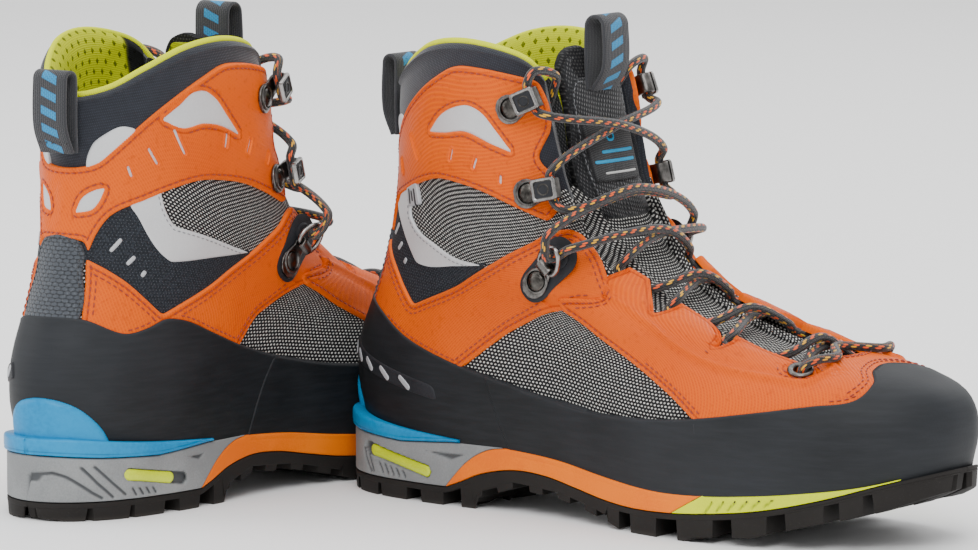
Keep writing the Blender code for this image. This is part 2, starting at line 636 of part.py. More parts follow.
def loops(boot):
    """Pull loops of ribbed webbing at the heel and at the top of the tongue."""
    for name, base, top, bulge, lean in (("heel_loop", HEEL_LOOP_BASE, HEEL_LOOP_TOP, 3.2, -2.4),
                                         ("tongue_loop", TONGUE_LOOP_BASE, TONGUE_LOOP_TOP, 4.4, 2.5)):
        height = top - base[2] - bulge
        frame = (Vector(base), Vector((1, 0, 0)), Vector((0, 0, 1)), Vector((0, 1, 0)))
        path = [(-1.2, 0.0), (lean - bulge, height * 0.35)] + arc((lean, height), bulge, 180, 0, 6)
        path += [(lean + bulge, height * 0.35), (1.2, 0.0)]
        ribbon(boot, name, path, *WEBBING, frame, "black", base)


# ======================================================================================
# Lacing hardware
# ======================================================================================
HOOKS = {"upper": (0.696, 0.973), "lower": (0.691, 0.803)}
LOCK_RIVET = (0.566, 0.569)
LOCK_RING = (0.672, 0.656)
PLATE = 1.2
HOOK_WIDTH = 8.5
HOOK_REACH = 11.0
HOOK_BEND = 3.0
RIVET_R = 4.6
LOCK_BAR = (8.0, 3.3)                 # the ring's hinge, along and above the plate


def surface_frame(side, place, toward, lift):
    """Origin on the panel and axes: along the piece, out of the boot, across."""
    w, v = side * place[0], place[1]
    normal = Vector(outward(w, v))
    aim = Vector(last(side * toward[0], toward[1]) - last(w, v))
    along = (aim - normal * aim.dot(normal)).normalized()
    return Vector(over(w, v, lift)), along, normal, normal.cross(along)


def rivet(boot, name, frame, radius, low, high):
    """A domed rivet head as a closed turned solid."""
    origin, along, up, across = frame
    rings = [(radius, low), (radius, high * 0.6), (radius * 0.75, high)]
    count = 10
    points = []
    for r, h in rings:
        for k in range(count):
            a = 2 * math.pi * k / count
            points.append(origin + along * r * math.cos(a) + across * r * math.sin(a) + up * h)
    faces = [tuple(range(count)), tuple(range(2 * count, 3 * count))]
    for ring in range(2):
        for k in range(count):
            n = (k + 1) % count
            faces.append((ring * count + k, ring * count + n, (ring + 1) * count + n, (ring + 1) * count + k))
    return solid(boot, name, points, faces, "metal")


def hook_frame(side, place):
    return surface_frame(side, place, (place[0] + 0.06, place[1] + 0.012), OVERLAY[1] + GAP)


def hooks(boot):
    """Speed hooks: a riveted plate whose front end curls back over the lace."""
    for where, side in (("lateral", -1), ("medial", 1)):
        for level, place in HOOKS.items():
            frame = hook_frame(side, place)
            name = f"hook_{where}_{level}"
            path = [(-5.0, PLATE / 2), (3.0, PLATE / 2)]
            path += arc((HOOK_REACH, PLATE / 2 + HOOK_BEND), HOOK_BEND, -90, 90, 6)
            path += [(5.6, PLATE / 2 + 2 * HOOK_BEND)]
            body = ribbon(boot, name, path, PLATE, HOOK_WIDTH, frame, "metal")
            join_solids(body, rivet(boot, name + "_rivet_tool", frame, RIVET_R, 0.2, 2.6))


def ring_path():
    """D-shaped ring in its own plane: the straight side lies in the lock's curl."""
    half, reach = 5.2, 11.6
    bow = [(reach * math.sin(math.radians(a)), half * 1.12 * math.cos(math.radians(a))) for a in range(20, 161, 20)]
    return [(0, -half + 0.6), (0, half - 0.6)] + bow


def locks(boot):
    """Instep locks: a pad riveted to the quarter, curled round the straight side of a ring."""
    for where, side in (("lateral", -1), ("medial", 1)):
        frame = surface_frame(side, LOCK_RIVET, LOCK_RING, OVERLAY[1] + GAP)
        origin, along, up, across = frame
        path = [(-7.0, PLATE / 2), (3.0, PLATE / 2)] + arc(LOCK_BAR, 2.2, -110, 170, 9)
        body = ribbon(boot, f"lock_plate_{where}", path, 0.9, 6.6, frame, "metal")
        join_solids(body, rivet(boot, f"lock_plate_{where}_rivet_tool", frame, RIVET_R, 0.2, 2.6))
        pivot = origin + along * LOCK_BAR[0] + up * LOCK_BAR[1]
        lift = math.radians(RING_TILT)
        out = along * math.cos(lift) + up * math.sin(lift)
        wire = [pivot + out * x + across * y for x, y in ring_path()]
        tube(boot, f"lock_ring_{where}", wire, WIRE_R, "metal", True, tuple(pivot))


RING_TILT = 22.0


def eyelets(boot):
    """Metal rings round the lowest lace holes."""
    for where, side in (("lateral", -1), ("medial", 1)):
        frame = surface_frame(side, GROMMET, (GROMMET[0] + 0.05, GROMMET[1]), OVERLAY[1] + GAP)
        origin, along, up, across = frame
        profile = [(3.45, 0.0), (5.5, 0.0), (5.5, 0.5), (4.4, 1.0), (3.45, 0.5)]
        count = 10
        points, faces = [], []
        for k in range(count):
            a = 2 * math.pi * k / count
            arm = along * math.cos(a) + across * math.sin(a)
            points += [origin + arm * r + up * h for r, h in profile]
        size = len(profile)
        for k in range(count):
            n = (k + 1) % count
            for j in range(size):
                m = (j + 1) % size
                faces.append((k * size + j, k * size + m, n * size + m, n * size + j))
        solid(boot, f"eyelet_{where}", points, faces, "metal")


# ======================================================================================
# Lace
# ======================================================================================
LACE_STEP = 18.0                      # longest straight piece of the lace
LACE_TURN = math.radians(17)
UNDER, OVER = 0.6, 5.4                # lace above the last where one pass lies on the other
TUNNEL = -2.1                        # lace above the last where it runs under a vamp lobe


def hook_pass(side, place):
    """Lace through a hook's bend, from below to above."""
    origin, along, up, across = hook_frame(side, place)
    rise = across if across.z > 0 else -across
    seat = origin + along * (HOOK_REACH - 0.2) + up * (PLATE / 2 + HOOK_BEND)
    ahead = along * 5.0
    return [seat - rise * 10 + ahead, seat - rise * 5.6, seat, seat + rise * 5.6, seat + rise * 10 + ahead]


def ring_pass(side):
    """Lace under the lock ring's bow, up through it and back over the bow."""
    origin, along, up, across = surface_frame(side, LOCK_RIVET, LOCK_RING, OVERLAY[1] + GAP)
    rise = across if across.z > 0 else -across
    pivot = origin + along * LOCK_BAR[0] + up * LOCK_BAR[1]
    lift = math.radians(RING_TILT)
    out = along * math.cos(lift) + up * math.sin(lift)
    top = up * math.cos(lift) - along * math.sin(lift)
    return [pivot + out * 17 - top * 3.8 - rise * 5, pivot + out * 11.5 - top * 3.7 - rise * 2.2,
            pivot + out * 7.0 - top * 1.9 - rise * 0.8, pivot + out * 6.6 + top * 1.9 + rise * 0.5,
            pivot + out * 11.5 + top * 3.8 + rise * 2.2, pivot + out * 17 + top * 2.5 + rise * 5]


def half_lace(start):
    """Half of the lace, from the bar over the toe end of the throat to its tucked end."""
    route = []

    def go(side, *stops):
        route.extend(over(side * w, v, offset) for w, v, offset in stops)

    def cross(level, high):
        route.append(over(1.0, level, OVER if high else UNDER))

    s = start
    go(s, (0.90, 0.405, 5.4), (0.83, 0.378, 6.4), (0.799, 0.3625, 4.6), (0.795, 0.3605, 1.5),
       (0.795, 0.3605, -1.5), (0.799, 0.3625, -4.8), (0.83, 0.385, -6.0), (0.875, 0.415, -5.2),
       (0.905, 0.443, -1.4))
    cross(0.466, start > 0)
    s = -s
    go(s, (0.875, 0.452, 0.6), (0.825, 0.452, TUNNEL), (0.80, 0.462, TUNNEL), (0.815, 0.49, TUNNEL),
       (0.87, 0.508, 0.3))
    cross(0.545, start < 0)
    s = -s
    go(s, (0.885, 0.540, 0.6), (0.835, 0.538, TUNNEL), (0.815, 0.55, TUNNEL), (0.835, 0.578, TUNNEL),
       (0.885, 0.595, 0.6))
    cross(0.63, start > 0)
    s = -s
    go(s, (0.89, 0.625, 0.6), (0.84, 0.623, TUNNEL), (0.805, 0.635, TUNNEL), (0.81, 0.66, TUNNEL),
       (0.86, 0.683, 0.6))
    cross(0.725, start < 0)
    s = -s
    route.extend(ring_pass(s))
    cross(0.81, start > 0)
    s = -s
    route.extend(hook_pass(s, HOOKS["lower"]))
    cross(0.93, start < 0)
    s = -s
    route.extend(hook_pass(s, HOOKS["upper"]))
    go(s, (0.855, 1.03, -0.5), (0.85, 1.0, -6.0), (0.83, 0.97, -12.0), (0.82, 0.93, -14.0))
    return route


def resample(route):
    """Points along a smooth curve through the route, closer together where it turns."""
    pts = np.array([list(p) for p in route])
    reach = np.concatenate([[0], np.cumsum(np.linalg.norm(np.diff(pts, axis=0), axis=1) ** 0.7)])
    fine = smooth(np.linspace(0, reach[-1], 3000), reach, pts)
    kept, aim = [fine[0]], fine[1] - fine[0]
    for a, b in zip(fine[1:-1], fine[2:]):
        turn = Vector(aim).angle(Vector(b - a))
        run = np.linalg.norm(a - kept[-1])
        if run > LACE_STEP or (turn > LACE_TURN and run > LACE_R):
            kept.append(a)
            aim = b - a
    return kept + [fine[-1]]


def lace(boot):
    bar = [over(1.0, 0.448, 4.0)]
    route = half_lace(-1)[::-1] + bar + half_lace(1)
    tube(boot, "lace", resample(route), LACE_R, "black")


# ======================================================================================
def make_boot(boot):
    for make in (outsole, heel_wedge, heel_welt, midsole, forefoot_insert, boards, upper, rand, quarters,
                 vamp, cuff, collar, lining, tongue, loops, hooks, locks, eyelets, lace):
        make(boot)


def main():
    for obj in list(bpy.data.objects):
        bpy.data.objects.remove(obj, do_unlink=True)
    for name in ("right", "left"):
        make_boot(Boot(name))


main()
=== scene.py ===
import json
import math

import bmesh
import bpy
import numpy as np
from mathutils import Euler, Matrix, Vector, geometry, kdtree

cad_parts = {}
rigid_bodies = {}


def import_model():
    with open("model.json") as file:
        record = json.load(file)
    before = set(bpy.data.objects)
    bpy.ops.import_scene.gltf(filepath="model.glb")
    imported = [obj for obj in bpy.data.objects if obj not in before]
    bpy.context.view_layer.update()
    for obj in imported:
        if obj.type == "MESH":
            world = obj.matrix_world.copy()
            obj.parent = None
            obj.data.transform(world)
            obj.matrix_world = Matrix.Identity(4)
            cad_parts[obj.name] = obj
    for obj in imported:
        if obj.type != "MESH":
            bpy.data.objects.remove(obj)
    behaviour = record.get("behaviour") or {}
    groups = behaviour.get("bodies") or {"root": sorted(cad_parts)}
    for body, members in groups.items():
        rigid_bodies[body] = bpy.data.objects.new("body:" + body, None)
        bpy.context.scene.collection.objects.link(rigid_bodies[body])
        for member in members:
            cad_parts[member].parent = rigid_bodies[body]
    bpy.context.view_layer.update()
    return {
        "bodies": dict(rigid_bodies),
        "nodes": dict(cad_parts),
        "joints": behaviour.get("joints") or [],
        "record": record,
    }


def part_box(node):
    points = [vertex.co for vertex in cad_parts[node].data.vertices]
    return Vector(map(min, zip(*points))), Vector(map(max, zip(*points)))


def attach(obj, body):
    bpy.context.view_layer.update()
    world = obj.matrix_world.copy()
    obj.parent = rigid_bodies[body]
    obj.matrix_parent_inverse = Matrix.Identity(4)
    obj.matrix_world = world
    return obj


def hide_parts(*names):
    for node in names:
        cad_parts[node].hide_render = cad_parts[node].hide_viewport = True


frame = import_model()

# A pair of mountaineering boots. Shapes are worked out in a boot's own frame, in
# millimetres: X to the toe, Z up from the ground, -Y the outer (lateral) side. Each shape is
# made once and placed twice, the left boot being the mirror image of the right one.
MM = 0.001

# ======================================================================================
# The last: the foot-shaped surface that the upper's pieces follow
# ======================================================================================
LEVEL = np.array([0.00, 0.08, 0.16, 0.24, 0.31, 0.38, 0.45, 0.52, 0.60, 0.69, 0.79, 0.90, 1.00, 1.15])
HEEL_X = np.array([-147, -149.5, -150, -147.5, -143.5, -140, -136.5, -134, -131.5, -129.5,
                   -128.5, -128.5, -129.5, -131])
HEEL_Z = np.array([36, 48, 60, 71, 81, 90, 99, 108, 118, 130, 142, 154, 168, 190])
FRONT_X = np.array([149, 151, 150.5, 145, 134, 116, 90, 58, 30, 9, -8, -17, -23, -28])
FRONT_Z = np.array([35, 46, 55.5, 64, 69, 72.5, 77, 85, 96, 112, 132, 155, 180, 206])
ALONG = np.array([0, 0.06, 0.15, 0.40, 0.70, 0.88, 1.0])
WIDTH_LEVEL = np.array([0.0, 0.16, 0.38, 0.60, 0.79, 1.0, 1.15])
LATERAL = np.array([[54, 52, 47, 37, 57, 64, 64],
                    [56, 54, 48, 39, 57, 63, 62],
                    [50, 49, 46, 41, 47, 50, 46],
                    [42, 42, 42, 42, 44, 44, 42],
                    [37, 37, 38, 41, 45, 45, 42],
                    [36, 36, 37, 40, 45, 46, 43],
                    [37, 37, 38, 41, 45, 46, 43]], float)
MEDIAL = np.array([[54, 51, 46, 35, 51, 55, 52],
                   [56, 53, 47, 36, 52, 54, 52],
                   [50, 49, 46, 39, 45, 47, 44],
                   [42, 42, 42, 41, 43, 43, 42],
                   [37, 37, 38, 41, 45, 45, 42],
                   [36, 36, 37, 40, 45, 46, 43],
                   [37, 37, 38, 41, 45, 46, 43]], float)
NOSE = np.array([0.82, 0.82, 0.85, 0.75, 0.6, 0.55, 0.55])
FEATHER_X = np.array([-147, -120, -79, -49, -23, 4, 35, 60, 80, 108, 130, 152])
FEATHER_Z = np.array([36, 33, 30, 28, 26, 22.5, 20, 20.5, 22, 25, 28.5, 35])
TOE_SWING = 5.0
UPPER_INSET = 2.4                    # the upper's outer face lies this far inside the last


def hermite(s, h, y0, y1, m0, m1):
    """One stretch of a cubic curve: its end values and end slopes, at share s of a step h."""
    return ((2 * s**3 - 3 * s**2 + 1) * y0 + (s**3 - 2 * s**2 + s) * h * m0
            + (-2 * s**3 + 3 * s**2) * y1 + (s**3 - s**2) * h * m1)


def smooth(x, xs, ys):
    """A smooth curve through the stations (xs, ys); ys may have more axes."""
    step = np.diff(ys, axis=0) / np.diff(xs).reshape(-1, *([1] * (ys.ndim - 1)))
    slope = np.zeros(ys.shape)
    slope[1:-1] = (step[1:] + step[:-1]) / 2
    slope[0], slope[-1] = step[0], step[-1]
    i = np.clip(np.searchsorted(xs, x, side="right") - 1, 0, len(xs) - 2)
    h = xs[i + 1] - xs[i]
    s = (x - xs[i]) / h
    if ys.ndim > 1:
        s, h = s[..., None], h[..., None]
    return hermite(s, h, ys[i], ys[i + 1], slope[i], slope[i + 1])


def feather(x):
    """Height of the feather line, where upper meets sole."""
    return smooth(np.clip(np.asarray(x, float), FEATHER_X[0], FEATHER_X[-1]), FEATHER_X, FEATHER_Z)


def toe_swing(x):
    """How far the middle line swings to the inner side, ahead of the ankle."""
    return TOE_SWING * np.clip(np.asarray(x, float) / 150, 0, 1) ** 2


def width_at(table, v, t):
    """Half-width of the last at level v and place t, both arrays of one shape."""
    rows = smooth(v, WIDTH_LEVEL, table)
    step = np.diff(rows, axis=-1) / np.diff(ALONG)
    slope = np.zeros(rows.shape)
    slope[..., 1:-1] = (step[..., 1:] + step[..., :-1]) / 2
    slope[..., 0], slope[..., -1] = step[..., 0], step[..., -1]
    i = np.clip(np.searchsorted(ALONG, t, side="right") - 1, 0, len(ALONG) - 2)

    def pick(values, index):
        return np.take_along_axis(values, index[..., None], -1)[..., 0]

    h = ALONG[i + 1] - ALONG[i]
    return hermite((t - ALONG[i]) / h, h, pick(rows, i), pick(rows, i + 1), pick(slope, i),
                   pick(slope, i + 1))


def last(w, v):
    """Point of the last. w: 0 heel, -1 or 1 toe, -1..0 lateral, 0..1 medial; wraps round."""
    w, v = np.broadcast_arrays(np.asarray(w, float), np.asarray(v, float))
    u = (w + 1) % 2 - 1
    angle = math.pi * np.abs(u)
    t, side = (1 - np.cos(angle)) / 2, np.clip(np.sin(angle), 0, None)
    heel_x, front_x = smooth(v, LEVEL, HEEL_X), smooth(v, LEVEL, FRONT_X)
    heel_z, front_z = smooth(v, LEVEL, HEEL_Z), smooth(v, LEVEL, FRONT_Z)
    x = heel_x + (front_x - heel_x) * t
    chord = FEATHER_Z[0] + (FEATHER_Z[-1] - FEATHER_Z[0]) * t
    dip = np.clip(1 - v / 0.5, 0, 1) ** 1.5
    z = heel_z + (front_z - heel_z) * t + dip * (feather(x) - chord)
    width = np.where(u < 0, width_at(LATERAL, v, t), width_at(MEDIAL, v, t))
    blunt = 1 + (smooth(v, WIDTH_LEVEL, NOSE) - 1) * np.clip(1.4 * t - 0.4, 0, 1)
    y = np.where(u < 0, -1, 1) * width * side**blunt + toe_swing(x)
    return np.stack([x, y, z], -1)


def slopes(w, v):
    """The last's two tangents, in millimetres for one unit of w and of v."""
    d = 0.004
    return (last(w + d, v) - last(w - d, v)) / (2 * d), (last(w, v + d) - last(w, v - d)) / (2 * d)


def outward(w, v):
    """Unit normal of the last, pointing out of the boot."""
    w, v = np.asarray(w, float), np.asarray(v, float)
    along, up = slopes(w, v)
    n = np.cross(up, along)
    return n / np.linalg.norm(n, axis=-1, keepdims=True)


def over(w, v, offset):
    """Point at a height above the upper's outer face."""
    return last(w, v) + outward(w, v) * (np.asarray(offset, float)[..., None] - UPPER_INSET)


# Lengths along the surface, so that a weave keeps its real size all over the boot.
CHART_W = np.linspace(0, 1, 101)
CHART_V = np.linspace(-0.06, 1.2, 127)


def chart(side):
    """Running lengths over one side of the last, along w and up v, on a regular grid."""
    w, v = np.meshgrid(CHART_W * side, CHART_V)
    along, up = slopes(w, v)
    per_w, per_v = np.linalg.norm(along, axis=-1), np.linalg.norm(up, axis=-1)
    far = np.cumsum(np.hstack([np.zeros((len(CHART_V), 1)), (per_w[:, 1:] + per_w[:, :-1]) / 2 * CHART_W[1]]),
                    1)
    step = CHART_V[1] - CHART_V[0]
    high = np.cumsum(np.vstack([np.zeros((1, len(CHART_W))), (per_v[1:] + per_v[:-1]) / 2 * step]), 0)
    return far, high


CHARTS = {-1: chart(-1), 1: chart(1)}


def table_value(table, w, v):
    """A chart's value at (w, v), between its grid points."""
    x = np.clip(w / CHART_W[1], 0, len(CHART_W) - 1.001)
    y = np.clip((v - CHART_V[0]) / (CHART_V[1] - CHART_V[0]), 0, len(CHART_V) - 1.001)
    i, j = x.astype(int), y.astype(int)
    a, b = x - i, y - j
    return ((table[j, i] * (1 - a) + table[j, i + 1] * a) * (1 - b)
            + (table[j + 1, i] * (1 - a) + table[j + 1, i + 1] * a) * b)


def unroll(w, v, from_toe=False):
    """Weave coordinates in millimetres: along the boot and up it."""
    u = (np.asarray(w, float) + 1) % 2 - 1
    out = np.zeros(u.shape + (2,))
    for side, (far, high) in CHARTS.items():
        here = (u < 0) if side < 0 else (u >= 0)
        a, b = np.abs(u), np.asarray(v, float) + 0 * u
        reach = table_value(far, a, b)
        if from_toe:
            reach = reach - table_value(far, np.ones(a.shape), b)
        out[..., 0] = np.where(here, side * reach, out[..., 0])
        out[..., 1] = np.where(here, table_value(high, a, b), out[..., 1])
    return out


# ======================================================================================
# Placing pieces
# ======================================================================================
def middle(node, axis):
    """The middle of a CAD node's box on one axis."""
    low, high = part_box(node)
    return (low[axis] + high[axis]) / 2


class Boot:
    """Places shapes as the right or the left boot's. Its centre comes from the frame."""

    def __init__(self, name):
        self.name = name
        along, across = (0, 1) if name == "right" else (1, 0)
        self.along = middle(f"{name}_outsole", along)
        self.across = middle(f"{name}_heel_loop", across)

    def place(self, points):
        p = np.asarray(points, float) * MM
        x, y, z = p[..., 0] + self.along, p[..., 1] + self.across, p[..., 2]
        return np.stack([x, y, z] if self.name == "right" else [y, x, z], -1)


BOOTS = [Boot("right"), Boot("left")]


def add(name, points, faces, look, body="boot", stands_for=(), uv=None, marks=None, smooth_angle=50,
        slot=None):
    """Makes one piece for each boot: a mesh, with weave coordinates and marks per point."""
    points = np.asarray(points, float)
    for boot in BOOTS:
        mesh = bpy.data.meshes.new(f"{boot.name}_{name}_shape")
        rings = [tuple(f) for f in faces] if boot.name == "right" else [tuple(f)[::-1] for f in faces]
        mesh.from_pydata(boot.place(points).tolist(), [], rings)
        corner = np.empty(len(mesh.loops), np.int32)
        mesh.loops.foreach_get("vertex_index", corner)
        if uv is not None:
            layer = mesh.uv_layers.new(name="weave")
            layer.data.foreach_set("uv", np.asarray(uv, np.float32)[corner].ravel())
        for key, values in (marks or {}).items():
            mark = mesh.attributes.new(key, "FLOAT", "POINT")
            mark.data.foreach_set("value", np.asarray(values, np.float32))
        mesh.shade_smooth()
        mesh.set_sharp_from_angle(angle=math.radians(smooth_angle))
        obj = bpy.data.objects.new(f"{boot.name}_{name}_look", mesh)
        bpy.context.scene.collection.objects.link(obj)
        mesh.materials.append(look)
        settle(obj, boot, body, stands_for)


def settle(obj, boot, body, stands_for):
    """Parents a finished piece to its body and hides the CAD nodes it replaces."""
    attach(obj, f"{boot.name}_{body}")
    if stands_for:
        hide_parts(*[f"{boot.name}_{node}" for node in stands_for])


def merge(parts):
    """Joins (points, faces, uv, marks) shapes into one."""
    points, faces, uvs, marks, first = [], [], [], {}, 0
    keys = sorted({k for p in parts for k in (p[3] or {})})
    for pts, fcs, uv, mk in parts:
        points.append(np.asarray(pts, float))
        faces += [tuple(i + first for i in f) for f in fcs]
        uvs.append(np.asarray(uv, float) if uv is not None else np.zeros((len(pts), 2)))
        for k in keys:
            marks.setdefault(k, []).append(np.asarray((mk or {}).get(k, np.zeros(len(pts))), float))
        first += len(pts)
    return (np.vstack(points), faces, np.vstack(uvs), {k: np.concatenate(a) for k, a in marks.items()})


# ======================================================================================
# Outlines and panels on the last
# ======================================================================================
EDGE_STEP = 1.2                       # millimetres between points of a panel's edge
RINGS = [0.3, 0.7, 1.2, 1.8, 2.4, 3.0, 4.0]
CORNER = math.radians(38)


def flat_scale(loop):
    """Millimetres for one unit of w and of v near each point."""
    along, up = slopes(loop[:, 0], loop[:, 1])
    return np.stack([np.linalg.norm(along, axis=-1), np.linalg.norm(up, axis=-1)], -1)


def spline_loop(outline, closed=True, sharp=CORNER, step=EDGE_STEP):
    """A fine outline: smooth through the given points, but sharp at real corners."""
    pts = np.array(outline, float)
    count = len(pts)
    scale = flat_scale(pts)
    out = []
    order = range(count if closed else count - 1)

    def tangent(i):
        a, b, c = pts[(i - 1) % count], pts[i], pts[(i + 1) % count]
        if not closed and i in (0, count - 1):
            return None
        p, q = (b - a) * scale[i], (c - b) * scale[i]
        turn = abs(math.atan2(p[0] * q[1] - p[1] * q[0], p @ q))
        if turn > sharp:
            return None
        lp, lq = np.linalg.norm(p), np.linalg.norm(q)
        return ((b - a) / lp * lq + (c - b) / lq * lp) / (lp + lq)

    for i in order:
        j = (i + 1) % count
        a, b = pts[i], pts[j]
        length = np.linalg.norm((b - a) * (scale[i] + scale[j]) / 2)
        ta, tb = tangent(i), tangent(j)
        chord = (b - a) / max(length, 1e-9)
        ta = chord if ta is None else ta
        tb = chord if tb is None else tb
        n = max(1, int(math.ceil(length / step)))
        for k in range(n):
            s = k / n
            out.append(hermite(s, length, a, b, ta, tb))
    if not closed:
        out.append(pts[-1])
    return np.array(out)


def soften(loop, rounds=2):
    """Rounds a closed loop's corners a little."""
    for _ in range(rounds):
        loop = loop * 0.5 + (np.roll(loop, 1, 0) + np.roll(loop, -1, 0)) * 0.25
    return loop


def area(loop):
    """Signed area of a flat loop: positive when it runs anticlockwise."""
    x, y = loop[:, 0], loop[:, 1]
    return 0.5 * np.sum(x * np.roll(y, -1) - y * np.roll(x, -1))


def shifted(loop, distance, closed=True):
    """The loop moved to its left by a distance in millimetres, along the surface."""
    if closed:
        tangent = np.roll(loop, -1, 0) - np.roll(loop, 1, 0)
    else:
        tangent = np.gradient(loop, axis=0)
    along, up = slopes(loop[:, 0], loop[:, 1])
    t3 = along * tangent[:, :1] + up * tangent[:, 1:]
    t3 /= np.maximum(np.linalg.norm(t3, axis=-1, keepdims=True), 1e-9)
    n = np.cross(along, up)
    n /= np.linalg.norm(n, axis=-1, keepdims=True)
    m = np.cross(n, t3) * distance
    aa, ab, bb = (along * along).sum(-1), (along * up).sum(-1), (up * up).sum(-1)
    ma, mb = (along * m).sum(-1), (up * m).sum(-1)
    det = aa * bb - ab * ab
    return loop + np.stack([(bb * ma - ab * mb) / det, (aa * mb - ab * ma) / det], -1)


def within(points, loop):
    """True where a point lies inside a closed loop."""
    a, b = loop, np.roll(loop, -1, 0)
    x, y = points[:, 0][:, None], points[:, 1][:, None]
    cross = (a[:, 1] > y) != (b[:, 1] > y)
    rise = np.where(b[:, 1] == a[:, 1], 1e-12, b[:, 1] - a[:, 1])
    return (cross & (x < (b[:, 0] - a[:, 0]) * (y - a[:, 1]) / rise + a[:, 0])).sum(1) % 2 == 1


def tree_of(points):
    """A search tree of points."""
    tree = kdtree.KDTree(len(points))
    for i, p in enumerate(points):
        tree.insert(p, i)
    tree.balance()
    return tree


def distances(points, tree):
    """Distance from each point to the nearest one in a tree."""
    return np.array([tree.find(p)[2] for p in points])


def dense(loop, closed=True):
    """3-D points along a loop, four for each of its steps."""
    nxt = np.roll(loop, -1, 0) if closed else np.vstack([loop[1:], loop[-1:]])
    fine = np.concatenate([loop + (nxt - loop) * k / 4 for k in range(4)])
    return last(fine[:, 0], fine[:, 1])


